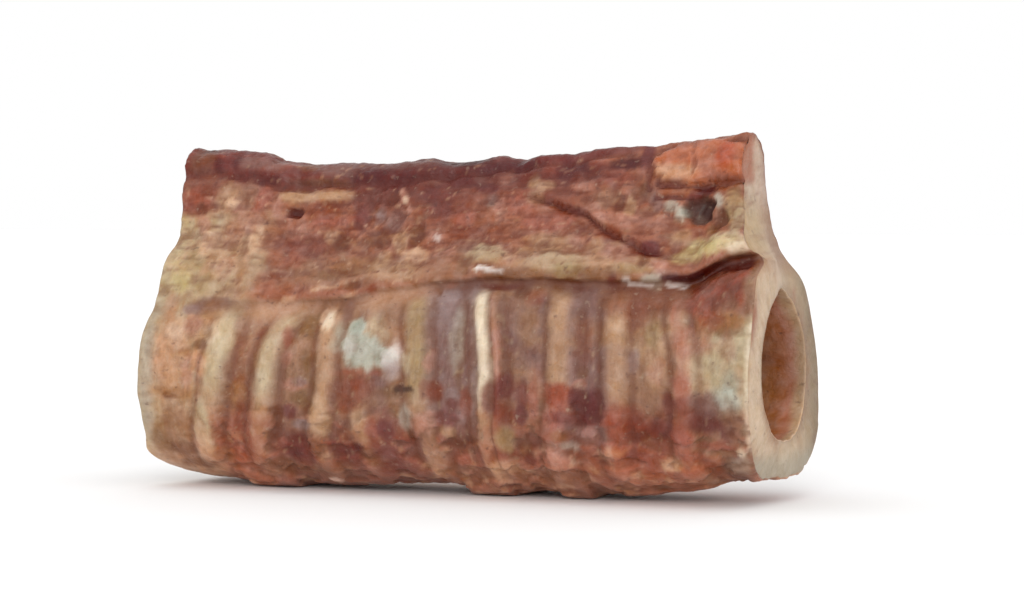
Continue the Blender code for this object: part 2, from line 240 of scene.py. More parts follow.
def key_points(r):
    """The 26 key points (y, z) of every station in r, as an (n, 26, 2) array."""
    x_low = station_x(r, 0.0, 2.0)
    x_lip = station_x(r, -11.0, 36.0)
    x_top = station_x(r, 0.0, 56.0)
    zb = curve(x_low, BELLY_LUMPS)
    zs = curve(x_low, BELLY_SMOOTH)
    zl = curve(x_lip, LIP_LINE)
    zt = curve(x_top, TOP_EDGE)
    zf = curve(x_lip, FAR_SHOULDER)
    w = TUBE_HALF_WIDTH
    creased = smoothstep(-50.0, -20.0, x_lip)
    # the lip's edge wanders a little and hangs over more in some places
    wander = Noise(5)
    zl = zl + creased * (0.45 * wander(x_lip / 6.0, 0.3, 0.7) + 0.2 * wander(x_lip / 2.3, 4.3, 0.7))
    zt = zt + 0.28 * wander(x_top / 4.5, 9.1, 2.2) + 0.12 * wander(x_top / 1.7, 3.1, 2.2)
    h, hf = zl - zs, zf - zs
    hang = LIP_OVERHANG * (0.55 + 0.45 * smoothstep(-20.0, -4.0, x_lip))
    hang = hang * (1 + 0.22 * wander(x_lip / 5.0, 1.9, 6.6))
    thin = smoothstep(26.0, 47.0, x_lip)
    deep = smoothstep(36.0, 45.0, x_lip)
    mid = zl + 0.42 * (zt - zl)
    high = zl + 0.74 * (zt - zl)

    def lip(smooth, folded):
        return (smooth[0] + (folded[0] - smooth[0]) * creased,
                smooth[1] + (folded[1] - smooth[1]) * creased)

    belly_edge = np.where(zb > REST_HEIGHT, 0.5 * zb + 0.5 * zs + 0.1, zb)
    pts = [
        (0.0, zb),
        (-BELLY_HALF_FLAT, belly_edge),
        (-12.6, zs + 0.105 * h),
        (-w * 0.948, zs + 0.29 * h),
        (-w, zs + 0.49 * h),
        lip((-w * 0.945, zl - 6.4), (-w * 0.915, zs + 0.715 * h)),
        lip((-w * 0.87, zl - 2.9), (-w * 0.80, zl - 4.0)),
        lip((-w * 0.80, zl - 0.4), (-12.2 + 1.7 * deep, zl - 0.9)),
        lip((-w * 0.755, zl + 1.4), (-12.4 - 0.3 * hang + 0.5 * deep, zl + 0.3)),
        lip((-w * 0.70, zl + 3.8), (-11.6 - 0.4 * hang + 1.0 * thin, zl + 2.2)),
        lip((-w * 0.61, zl + 7.2), (-10.4 + 1.6 * thin, zl + 4.6)),
        (-8.2 + 1.6 * thin, mid),
        (-5.6 + 1.0 * thin, high),
        (-3.0 + 0.5 * thin, zt - 1.3),
        (-0.3, zt),
        (2.3 - 0.3 * thin, zt - 1.1),
        (5.0 - 1.4 * thin, high),
        (7.8 - 2.6 * thin, mid + 0.4),
        (10.2 - 2.4 * thin, zf + 4.4),
        (12.0 - 1.1 * thin, zf + 0.9),
        (14.2 + 0.7 * thin, zf - 3.2 + 0.2 * thin),
        (w * 0.925, zs + 0.70 * hf),
        (w, zs + 0.485 * hf),
        (w * 0.948, zs + 0.285 * hf),
        (12.6, zs + 0.10 * hf),
        (BELLY_HALF_FLAT, belly_edge),
    ]
    out = np.empty((len(r), len(pts), 2))
    for i, (a, b) in enumerate(pts):
        out[:, i, 0] = a
        out[:, i, 1] = b
    return out


def closed_curve(keys, v):
    """Centripetal Catmull-Rom round each station's key points; v is (n, m)."""
    n = keys.shape[1]
    v = v % n
    i = np.floor(v).astype(int) % n
    t = (v - np.floor(v))[..., None]
    row = np.arange(len(keys))[:, None]
    p0, p1, p2, p3 = (keys[row, (i + k) % n] for k in (-1, 0, 1, 2))
    d01 = np.sqrt(np.linalg.norm(p1 - p0, axis=-1))[..., None]
    d12 = np.sqrt(np.linalg.norm(p2 - p1, axis=-1))[..., None]
    d23 = np.sqrt(np.linalg.norm(p3 - p2, axis=-1))[..., None]
    m1 = (p2 - p1) + d12 * ((p1 - p0) / d01 - (p2 - p0) / (d01 + d12))
    m2 = (p2 - p1) + d12 * ((p3 - p2) / d23 - (p3 - p1) / (d12 + d23))
    t2, t3 = t * t, t * t * t
    return (p1 * (2 * t3 - 3 * t2 + 1) + m1 * (t3 - 2 * t2 + t)
            + p2 * (3 * t2 - 2 * t3) + m2 * (t3 - t2))


def spaced_v(keys):
    """Curve positions with even spacing inside each named stretch."""
    n, count = keys.shape[:2]
    per = 16
    dense = np.linspace(0, count, count * per + 1)
    pts = closed_curve(keys, np.tile(dense, (n, 1)))
    arc = np.concatenate([np.zeros((n, 1)),
                          np.cumsum(np.linalg.norm(np.diff(pts, axis=1), axis=-1), 1)], 1)
    cols = []
    for v0, v1, steps in ((0, 7, N_TUBE_NEAR), (7, 13, N_STRIP), (13, 15, N_TOP + 1),
                          (15, 19, N_STRIP), (19, 26, N_TUBE_FAR)):
        a, b = v0 * per, v1 * per
        part = np.empty((n, steps))
        for s in range(n):
            goal = np.linspace(arc[s, a], arc[s, b], steps + 1)[:-1]
            part[s] = np.interp(goal, arc[s, a:b + 1], dense[a:b + 1])
        cols.append(part)
    return np.concatenate(cols, 1)


def flank_mask(v):
    near = smoothstep(1.2, 2.6, v) * (1 - smoothstep(5.6, 6.8, v))
    far = smoothstep(19.6, 20.8, v) * (1 - smoothstep(23.4, 24.8, v))
    return near + far


def band_gap(r, x, y, z):
    """Distance in mm along the tube to the nearest band, and its number."""
    k = np.clip(np.round(r), 1, 8)
    # each band wanders a little instead of running dead straight
    sway = 0.7 * Noise(21)(z / 8.0, k * 3.7, y / 9.0) + 0.16 * Noise(22)(z / 2.8, k * 1.9, y / 3.0)
    return x - station_x(k, y, z) + sway, k.astype(int)


BAND_WIDTH = (1.0, 1.25, 1.15, 0.95, 1.2, 1.35, 1.25, 1.1, 0.95, 1.0)
BAND_RISE = (1.0, 0.9, 0.95, 0.65, 0.8, 1.15, 0.7, 0.7, 0.7, 1.0)


def ring_relief(r, x, y, z):
    gap, k = band_gap(r, x, y, z)
    width = BAND_HALF_LENGTH * np.array(BAND_WIDTH)[k]
    rise = np.array(BAND_RISE)[k]
    ridge = np.exp(-(np.abs(gap) / width) ** 2.6)
    # the fifth band is two cords side by side
    twin = (k == 5) & (y < 0)
    pair = np.exp(-(np.abs(gap + 0.5) / 1.1) ** 2.6) + 0.6 * np.exp(-((gap - 1.75) / 0.6) ** 2)
    ridge = np.where(twin, pair, ridge)
    side = np.exp(-((np.abs(gap) - width * 1.75) / 0.7) ** 2)
    f = np.abs(r - np.round(r))
    hollow = smoothstep(0.1, 0.42, f)
    inside = smoothstep(0.0, 0.5, r) * (1 - smoothstep(8.5, 9.0, r))
    rim = 1 - smoothstep(0.0, 0.35, np.minimum(r, 9 - r))
    real = smoothstep(0.35, 0.6, r) * (1 - smoothstep(8.4, 8.65, r))
    return (BAND_HEIGHT * rise * ridge * real - 0.22 * side * real
            - PANEL_DEPTH * hollow * inside + RIM_FLARE * rim)


def build_outer():
    """Outer skin as a grid of stations by points round each, before relief."""
    even = np.linspace(0, 9, 1441)
    x_mid = station_x(even, -15.0, 22.0)
    steps = EDGE_ROUND * np.array([0.293, 0.441, 0.609, 0.809, 1.0, 1.3])
    inner = np.linspace(x_mid[0] + 1.45, x_mid[-1] - 1.45, STATIONS)
    r = np.interp(np.concatenate([x_mid[0] + steps, inner, x_mid[-1] - steps[::-1]]), x_mid, even)
    keys = key_points(r)
    v = spaced_v(keys)
    yz = closed_curve(keys, v)
    y, z = yz[..., 0], yz[..., 1]
    rr = np.broadcast_to(r[:, None], y.shape)
    axis = curve(station_x(r, 0.0, 18.0), BORE_AXIS)[:, None]
    x = station_x(rr, y, z)
    push = ring_relief(rr, x, y, z) * flank_mask(v)
    length = np.hypot(y, z - axis)
    y, z = y + push * y / length, z + push * (z - axis) / length
    return np.stack([station_x(rr, y, z), y, z], -1), rr, v


def build_bore():
    """Bore as a grid; the columns match those of the skin below the strip."""
    even = np.linspace(0, 9, 1441)
    x_mid = station_x(even, 0.0, 18.0)
    steps = BORE_ROUND * np.array([0.293, 0.5, 0.75, 1.0])
    s = np.linspace(0, 1, BORE_STATIONS)
    s = s + 0.105 * np.sin(2 * np.pi * s) * -1
    inner = x_mid[0] + 1.0 + (x_mid[-1] - x_mid[0] - 2.0) * s
    r = np.interp(np.concatenate([x_mid[0] + steps, inner, x_mid[-1] - steps[::-1]]), x_mid, even)
    xm = station_x(r, 0.0, 18.0)
    zc = curve(xm, BORE_AXIS)[:, None]
    b = curve(xm, BORE_HALF_HEIGHT)[:, None]
    a = (BORE_HALF_WIDTH + 0.3 * np.cos(2 * np.pi * r))[:, None]
    gap = math.radians(38.0)
    ang = np.concatenate([np.linspace(0, math.pi - gap, N_TUBE_NEAR + 1),
                          np.linspace(math.pi - gap, math.pi + gap, N_TOP + 2)[1:-1],
                          np.linspace(math.pi + gap, 2 * math.pi, N_TUBE_FAR + 1)[:-1]])[None]
    y = -a * np.sin(ang) + 0 * b
    z = zc - b * np.cos(ang)
    z = np.where(z > zc + 0.8 * b, zc + 0.8 * b + 0.85 * (z - zc - 0.8 * b), z)
    rr = np.broadcast_to(r[:, None], y.shape)
    return np.stack([station_x(rr, y, z), y, z], -1), rr


def grid_normals(grid, sign=1.0):
    du = np.gradient(grid, axis=0)
    dv = np.roll(grid, -1, 1) - np.roll(grid, 1, 1)
    n = np.cross(du, dv) * sign
    return n / np.maximum(np.linalg.norm(n, axis=-1, keepdims=True), 1e-9)


def blur_grid(grid, times):
    for _ in range(times):
        g = 0.5 * grid + 0.25 * (np.roll(grid, 1, 1) + np.roll(grid, -1, 1))
        up = np.concatenate([g[:1], g[:-1]])
        down = np.concatenate([g[1:], g[-1:]])
        grid = 0.5 * g + 0.25 * (up + down)
    return grid


def outline_distance(points, loop):
    """Distance of (n, 2) points to a closed outline of (m, 2) points."""
    a, b = loop, np.roll(loop, -1, 0)
    d = b - a
    best = np.full(len(points), 1e9)
    for s in range(0, len(points), 600):
        p = points[s:s + 600, None, :] - a[None]
        t = np.clip((p * d).sum(-1) / np.maximum((d * d).sum(-1), 1e-9), 0, 1)
        best[s:s + 600] = np.linalg.norm(p - t[..., None] * d, axis=-1).min(1)
    return best


def round_drop(d, radius):
    """How far a rounded edge falls away at distance d from it."""
    q = np.clip((radius - d) / radius, 0, 1)
    return radius * (1 - np.sqrt(1 - q * q))


outer, rv, vv = build_outer()
bore, bore_rv = build_bore()
outer[..., 0] += ORIGIN_SHIFT
bore[..., 0] += ORIGIN_SHIFT
SO, NO = outer.shape[:2]
SB, NB = bore.shape[:2]

# ============================================================ where things are
pts = outer.reshape(-1, 3)
rv, vv = rv.reshape(-1), vv.reshape(-1)
X, Y, Z = pts[:, 0], pts[:, 1], pts[:, 2]
x0 = X - ORIGIN_SHIFT
# the two sides meet along an uneven line on the underside
underside = smoothstep(8.0, 3.0, Z)
near = smoothstep(1.5 + 2.5 * underside, -1.5 - 2.5 * underside, Y - 1.0 * underside + 5.0 * underside * fbm(30, pts, 5.0, 3))
far = 1 - near
lip_z = curve(x0, LIP_LINE)
top_z = curve(x0, TOP_EDGE)
strip = smoothstep(7.2, 8.2, vv) * (1 - smoothstep(18.4, 19.8, vv))
tube = 1 - strip
flank = flank_mask(vv)
below_top = top_z - Z                                   # mm below the top edge
up = np.clip((Z - lip_z) / (top_z - lip_z), -2, 1.2)    # 0 at the lip, 1 at the top
to_left = x0 - station_x(0 * X, Y, Z)                   # mm from each cut
to_right = station_x(0 * X + 9, Y, Z) - x0

warp = np.stack([fbm(31, pts, 5.0, 3), fbm(32, pts, 5.0, 3)], 1)
warp_fine = np.stack([fbm(33, pts, 1.8, 2), fbm(34, pts, 1.8, 2)], 1)
ragged = fbm(36, pts, 1.7, 3)
WX = X + 0.8 * warp[:, 0] + 0.6 * warp_fine[:, 0]
WZ = Z + 0.8 * warp[:, 1] + 0.6 * warp_fine[:, 1]


def patch(cx, cz, rx, rz, turn=0.0, soft=0.35, side=None, rough=1.0):
    """A soft-edged oval on one side of the piece, its outline made uneven."""
    side = near if side is None else side
    ux = mix(X, WX, rough) - cx
    uz = mix(Z, WZ, rough) - cz
    c, s = math.cos(math.radians(turn)), math.sin(math.radians(turn))
    d = np.hypot((ux * c + uz * s) / rx, (-ux * s + uz * c) / rz) + 0.34 * rough * ragged
    return (1 - smoothstep(1 - soft, 1 + soft, d)) * side


def stroke(points, width, soft=0.4, side=None, rough=0.6):
    """A soft band along a run of (x, z) points."""
    side = near if side is None else side
    ux, uz = mix(X, WX, rough), mix(Z, WZ, rough)
    best = np.full(len(X), 1e9)
    for (ax, az), (bx, bz) in zip(points[:-1], points[1:]):
        dx, dz = bx - ax, bz - az
        t = np.clip(((ux - ax) * dx + (uz - az) * dz) / (dx * dx + dz * dz), 0, 1)
        best = np.minimum(best, np.hypot(ux - ax - t * dx, uz - az - t * dz))
    return (1 - smoothstep(width * (1 - soft), width * (1 + soft), best)) * side


# =================================================================== the palette
LIGHT, SHEEN = 1.32, 0.016      # how the studio light lifts a colour


def tint(r, g, b):
    """Reflectance that looks like this 8-bit colour under the studio light."""
    return np.clip((srgb(r, g, b) - SHEEN) / LIGHT, 0.003, 0.9)


TISSUE = {
    # fat, gristle and dried membrane
    "cream": tint(216, 188, 158), "peach": tint(204, 160, 130), "sand": tint(182, 157, 126),
    "tan": tint(180, 140, 110), "olive": tint(162, 135, 98), "yellow": tint(192, 166, 120),
    "ochre": tint(162, 113, 76), "bark": tint(128, 94, 68), "brown": tint(150, 112, 90),
    "umber": tint(112, 72, 52), "grey": tint(168, 152, 134), "lilac": tint(150, 125, 118),
    "white": tint(214, 190, 174), "chalk": tint(180, 173, 154), "moss": tint(164, 162, 142),
    # dried muscle and blood
    "mauve": tint(130, 98, 90), "dusk": tint(120, 72, 69), "plum": tint(102, 54, 56),
    "rosy": tint(178, 126, 108), "rose": tint(164, 102, 87), "brick": tint(148, 80, 62),
    "redbrown": tint(134, 82, 66), "rust": tint(128, 66, 44), "maroon": tint(106, 51, 47),
    "oxblood": tint(84, 26, 25), "black": tint(64, 44, 39), "slate": tint(74, 72, 68),
    "wine": tint(104, 56, 51), "clay": tint(128, 80, 64), "orange": tint(202, 146, 112), "salmon": tint(174, 106, 80), "ember": tint(168, 80, 58),
}
LUMA = np.array([0.30, 0.55, 0.15])


def layer(base, name, mask, amount=1.0):
    m = np.clip(mask * amount, 0, 1)[:, None]
    c = TISSUE[name] if isinstance(name, str) else name
    return base + (c - base) * m


# ============================================= marks: tissue, x, z, half sizes,
# turn in degrees, strength.  First the strip, from the left cut to the right one.
STRIP_MARKS = (
    ("umber", -48.6, 55.0, 2.2, 2.4, 0, 0.70), ("black", -48.3, 57.0, 1.3, 0.9, 0, 0.60),
    ("redbrown", -46.8, 51.4, 2.2, 1.6, 0, 0.60), ("brick", -48.4, 47.8, 2.7, 2.4, 0, 0.75),
    ("umber", -47.2, 46.8, 1.0, 1.2, 0, 0.60), ("oxblood", -45.3, 54.0, 1.1, 1.1, 0, 0.80),
    ("maroon", -43.2, 54.4, 1.5, 1.2, 0, 0.75), ("oxblood", -41.9, 54.0, 0.8, 1.1, 0, 0.70),
    ("mauve", -39.2, 54.2, 2.2, 1.0, 0, 0.75), ("mauve", -35.2, 53.8, 2.2, 0.9, 0, 0.70),
    ("maroon", -38.6, 51.9, 3.4, 0.9, 0, 0.85), ("oxblood", -35.6, 51.4, 2.3, 0.7, 2, 0.90),
    ("tan", -42.2, 48.8, 2.2, 2.1, 0, 0.80), ("peach", -41.5, 47.6, 1.1, 1.0, 0, 0.80),
    ("brown", -38.6, 49.0, 1.6, 2.2, 0, 0.60), ("rose", -36.0, 48.8, 1.4, 2.0, 0, 0.75),
    ("rosy", -33.0, 47.0, 0.9, 1.3, 0, 0.70), ("rosy", -46.4, 44.2, 1.3, 1.2, 0, 0.70),
    ("peach", -45.0, 41.2, 1.5, 2.2, 0, 0.80), ("tan", -42.0, 40.0, 1.5, 5.0, 0, 0.60),
    ("ochre", -39.6, 41.4, 1.1, 2.6, 0, 0.50), ("peach", -36.0, 42.2, 1.2, 2.5, 0, 0.75),
    ("bark", -37.7, 40.2, 0.7, 2.6, 0, 0.40), ("sand", -34.3, 37.8, 1.3, 1.9, 12, 0.45),
    ("olive", -46.4, 37.6, 1.9, 1.7, 0, 0.70), ("yellow", -47.6, 34.6, 1.9, 1.7, 0, 0.70),
    ("olive", -43.8, 34.3, 1.6, 1.4, 0, 0.50), ("rosy", -40.0, 36.6, 1.3, 2.2, 0, 0.35),
    ("brown", -38.4, 32.8, 2.2, 1.2, 0, 0.60), ("mauve", -41.4, 31.0, 3.6, 1.1, 3, 0.85),
    ("lilac", -44.0, 30.2, 2.2, 0.8, 6, 0.50), ("rust", -24.0, 46.6, 3.4, 1.0, 0, 0.70),
    ("rose", -22.6, 44.7, 3.6, 0.8, 3, 0.75), ("rosy", -27.8, 43.2, 1.7, 1.2, 0, 0.60),
    ("dusk", -26.4, 40.4, 4.0, 1.9, -4, 0.45), ("rose", -28.5, 38.2, 2.0, 0.9, 0, 0.45),
    ("tan", -21.8, 42.2, 1.4, 0.9, 0, 0.50), ("umber", -20.0, 41.4, 1.4, 1.3, 0, 0.80),
    ("umber", -25.0, 51.1, 5.6, 0.7, 0, 0.90), ("mauve", -22.6, 53.0, 3.8, 0.9, 0, 0.70),
    ("bark", -28.6, 53.6, 2.0, 0.8, 0, 0.50), ("oxblood", -16.6, 52.0, 2.7, 1.0, 0, 0.92),
    ("oxblood", -10.6, 52.0, 1.9, 1.05, 0, 0.92), ("mauve", -12.5, 53.9, 7.0, 0.7, 0, 0.60),
    ("dusk", -16.9, 45.4, 1.5, 2.0, 0, 0.85), ("mauve", -15.2, 49.0, 1.5, 1.3, 0, 0.75),
    ("lilac", -13.3, 45.8, 0.9, 1.4, 0, 0.75), ("umber", -11.3, 48.4, 1.3, 1.6, 0, 0.75),
    ("black", -11.0, 49.8, 0.7, 0.7, 0, 0.70), ("mauve", -10.4, 44.8, 1.9, 1.8, 0, 0.70),
    ("umber", -13.0, 41.7, 2.1, 1.5, 0, 0.70), ("brown", -16.2, 41.0, 1.8, 1.0, 0, 0.40),
    ("umber", -5.9, 42.7, 1.4, 1.8, 0, 0.85), ("tan", -8.9, 41.3, 1.3, 1.7, 0, 0.80),
    ("tan", -11.6, 38.5, 1.7, 1.2, 25, 0.55), ("peach", -5.6, 39.2, 2.1, 1.2, 0, 0.85),
    ("tan", -9.0, 36.8, 4.8, 1.5, 0, 0.60), ("ochre", -17.0, 37.6, 3.6, 1.2, 6, 0.35),
    ("rosy", -2.2, 43.0, 1.7, 1.4, 0, 0.65), ("white", -2.0, 42.0, 0.6, 0.6, 0, 0.55),
    ("plum", -4.8, 49.2, 1.5, 1.5, 0, 0.60), ("dusk", -2.5, 47.0, 1.9, 2.3, 0, 0.70),
    ("dusk", -1.5, 51.4, 2.6, 1.2, 0, 0.60), ("plum", 1.0, 51.0, 2.2, 1.0, 0, 0.60),
    ("mauve", 3.2, 51.8, 0.9, 0.8, 0, 0.70), ("plum", 5.0, 50.2, 1.7, 0.8, 0, 0.75),
    ("mauve", 6.0, 48.0, 1.1, 1.1, 0, 0.75), ("rose", 2.0, 45.4, 1.9, 1.6, 0, 0.70),
    ("rust", 2.0, 43.0, 2.6, 1.0, 0, 0.65), ("redbrown", 7.0, 42.6, 2.3, 1.6, 0, 0.55),
    ("rosy", 7.8, 47.0, 0.8, 1.2, 0, 0.85), ("redbrown", 4.9, 47.4, 0.9, 2.4, 0, 0.50),
    ("rose", 11.5, 47.6, 2.8, 1.7, 0, 0.60), ("tan", 13.8, 48.5, 1.4, 1.0, 0, 0.60),
    ("black", -0.5, 54.2, 3.8, 0.8, 0, 0.75), ("oxblood", 4.5, 53.2, 1.7, 0.8, 0, 0.85),
    ("oxblood", 9.5, 53.8, 3.8, 0.8, 0, 0.92), ("rosy", 8.0, 52.0, 1.2, 1.0, 0, 0.85),
    ("brick", 11.6, 52.0, 1.4, 1.0, 0, 0.60), ("tan", 13.2, 51.0, 1.0, 1.2, 0, 0.85),
    ("brick", 15.8, 52.8, 1.5, 1.3, 0, 0.85), ("plum", 18.4, 53.0, 1.6, 1.6, 0, 0.88),
    ("oxblood", 22.5, 53.6, 2.7, 0.9, 2, 0.92), ("oxblood", 28.6, 53.9, 2.9, 0.8, 3, 0.95),
    ("rose", 27.4, 51.9, 2.7, 1.1, 0, 0.80), ("rosy", 22.2, 50.5, 1.9, 0.8, 0, 0.85),
    ("tan", 15.0, 50.4, 1.9, 0.9, 0, 0.70), ("rose", 16.5, 44.8, 4.2, 1.5, -4, 0.75),
    ("tan", 18.0, 41.6, 4.4, 1.4, 0, 0.65), ("bark", 17.6, 41.4, 1.5, 0.6, 0, 0.40),
    ("rosy", 22.2, 42.0, 1.4, 0.7, 0, 0.65), ("brown", 26.6, 48.3, 2.0, 1.4, 0, 0.65),
    ("umber", 28.8, 47.7, 0.9, 1.4, 0, 0.70), ("tan", 30.6, 46.9, 0.8, 1.9, 0, 0.80),
    ("rosy", 29.0, 45.0, 4.2, 0.9, -6, 0.75), ("rust", 28.5, 42.9, 2.6, 0.8, -6, 0.75),
    ("redbrown", 32.5, 41.5, 1.2, 1.6, 0, 0.75), ("tan", 26.0, 41.0, 1.4, 1.2, 0, 0.60),
    ("rosy", 29.6, 39.6, 1.9, 1.5, 0, 0.65), ("plum", 35.0, 40.5, 1.8, 1.0, -4, 0.90),
    ("umber", 34.5, 38.9, 0.8, 1.0, 0, 0.65), ("rosy", 37.2, 38.1, 1.6, 0.8, 0, 0.80),
    ("umber", 32.6, 50.2, 0.8, 1.2, 0, 0.90), ("mauve", 33.8, 49.2, 1.0, 1.2, 0, 0.75),
    ("mauve", 35.1, 47.6, 1.1, 1.2, 0, 0.75), ("brown", 33.5, 46.3, 1.0, 0.9, 0, 0.55),
    ("rosy", 35.5, 44.6, 1.5, 1.0, 0, 0.50), ("redbrown", 33.6, 46.0, 0.8, 0.9, 0, 0.50),
    ("grey", 37.4, 47.3, 1.2, 1.0, 0, 0.80), ("tan", 39.5, 42.4, 1.8, 1.3, 0, 0.65),
    ("oxblood", 42.5, 49.9, 1.9, 0.8, 0, 0.95), ("maroon", 40.6, 48.8, 1.0, 0.7, 0, 0.80),
    ("grey", 44.9, 48.1, 0.9, 1.2, 0, 0.80), ("umber", 46.0, 45.4, 1.1, 1.6, -20, 0.80),
    ("bark", 44.8, 43.6, 1.0, 0.8, 0, 0.70), ("olive", 47.6, 47.6, 1.4, 2.7, 0, 0.65),
    ("sand", 49.2, 45.4, 1.0, 2.8, 0, 0.75), ("cream", 48.6, 42.0, 3.8, 1.3, 8, 0.55), ("yellow", 46.6, 41.6, 3.6, 1.2, 10, 0.55),
    ("yellow", 43.8, 40.9, 3.0, 1.2, 2, 0.85), ("yellow", 41.4, 39.4, 2.6, 0.9, 3, 0.70),
    ("wine", -13.5, 49.0, 6.0, 2.6, 0, 0.60), ("wine", -2.5, 47.6, 4.6, 2.2, -6, 0.45),
    ("redbrown", -3.6, 44.4, 2.4, 1.3, 0, 0.50), ("redbrown", -45.8, 49.6, 1.8, 1.1, 0, 0.60),
    ("umber", 32.2, 49.4, 1.6, 1.2, 0, 0.60), ("brown", 17.5, 39.6, 3.4, 0.8, 0, 0.45),
    ("rose", -38.6, 44.0, 3.2, 2.0, 25, 0.40), ("oxblood", 29.0, 54.4, 2.2, 1.0, -4, 0.35), ("rose", 24.0, 54.0, 1.8, 1.0, 0, 0.45), ("cream", 50.8, 40.7, 2.0, 0.9, 10, 0.60), ("maroon", -10.5, 51.6, 4.6, 1.5, 3, 0.50),
    ("brown", 4.6, 39.8, 2.6, 1.5, 10, 0.45), ("lilac", 38.8, 36.4, 2.4, 1.1, -6, 0.35),
)
# the edge that hangs over the rings
LIP_MARKS = (
    ("brown", -21.5, 35.2, 2.8, 1.0, 6, 0.50),
    ("umber", -16.2, 34.5, 1.4, 1.0, 0, 0.60), ("rust", -12.0, 33.6, 0.7, 0.9, 0, 0.80),
    # the cream stroke at x 9 is a painted highlight on the lip
    ("bark", -18.5, 36.4, 4.5, 0.8, 6, 0.40), ("cream", 9.0, 37.1, 2.8, 0.34, -2, 0.75),
    ("umber", 10.2, 36.0, 2.2, 0.4, -2, 0.70), ("maroon", 11.0, 34.7, 3.3, 0.5, 0, 0.80),
    ("rosy", 1.5, 34.7, 1.2, 0.6, 0, 0.70), ("umber", -0.4, 34.0, 0.5, 1.0, 0, 0.70),
    ("bark", 4.0, 37.6, 1.2, 1.5, 0, 0.50), ("sand", 7.4, 39.6, 3.2, 1.3, 0, 0.65),
    ("umber", 12.2, 36.6, 2.2, 0.7, -4, 0.88), ("bark", 18.5, 39.9, 1.7, 0.6, 0, 0.50),
    ("sand", 19.5, 38.5, 5.2, 1.1, 0, 0.55), ("olive", 22.6, 37.1, 3.0, 1.0, 0, 0.85),
    ("umber", 21.6, 35.5, 2.8, 0.5, 0, 0.75), ("tan", 15.8, 37.7, 3.2, 0.9, 0, 0.50),
    ("umber", 14.5, 33.8, 1.3, 0.9, 0, 0.75), ("brick", 17.0, 33.0, 1.8, 1.2, 0, 0.40),
    ("maroon", 29.8, 35.8, 1.0, 1.0, 0, 0.85), ("tan", 27.0, 38.0, 2.8, 1.2, 0, 0.55),
    ("olive", 33.0, 37.4, 3.2, 0.8, 0, 0.55), ("grey", 36.7, 35.5, 1.8, 1.1, 0, 0.85),
    # the white spot at x 32.5 is a painted highlight on the lip
    ("white", 32.5, 35.7, 0.8, 0.7, 0, 0.80), ("mauve", -41.4, 31.0, 3.8, 1.0, 3, 0.80),
    ("lilac", -44.4, 30.1, 1.8, 0.8, 6, 0.50), ("brown", 13.3, 36.8, 3.4, 0.9, 0, 0.70),
    ("bark", 26.5, 36.8, 4.0, 0.8, 0, 0.55), ("brown", -17.0, 31.4, 2.8, 1.3, 0, 0.45),
)
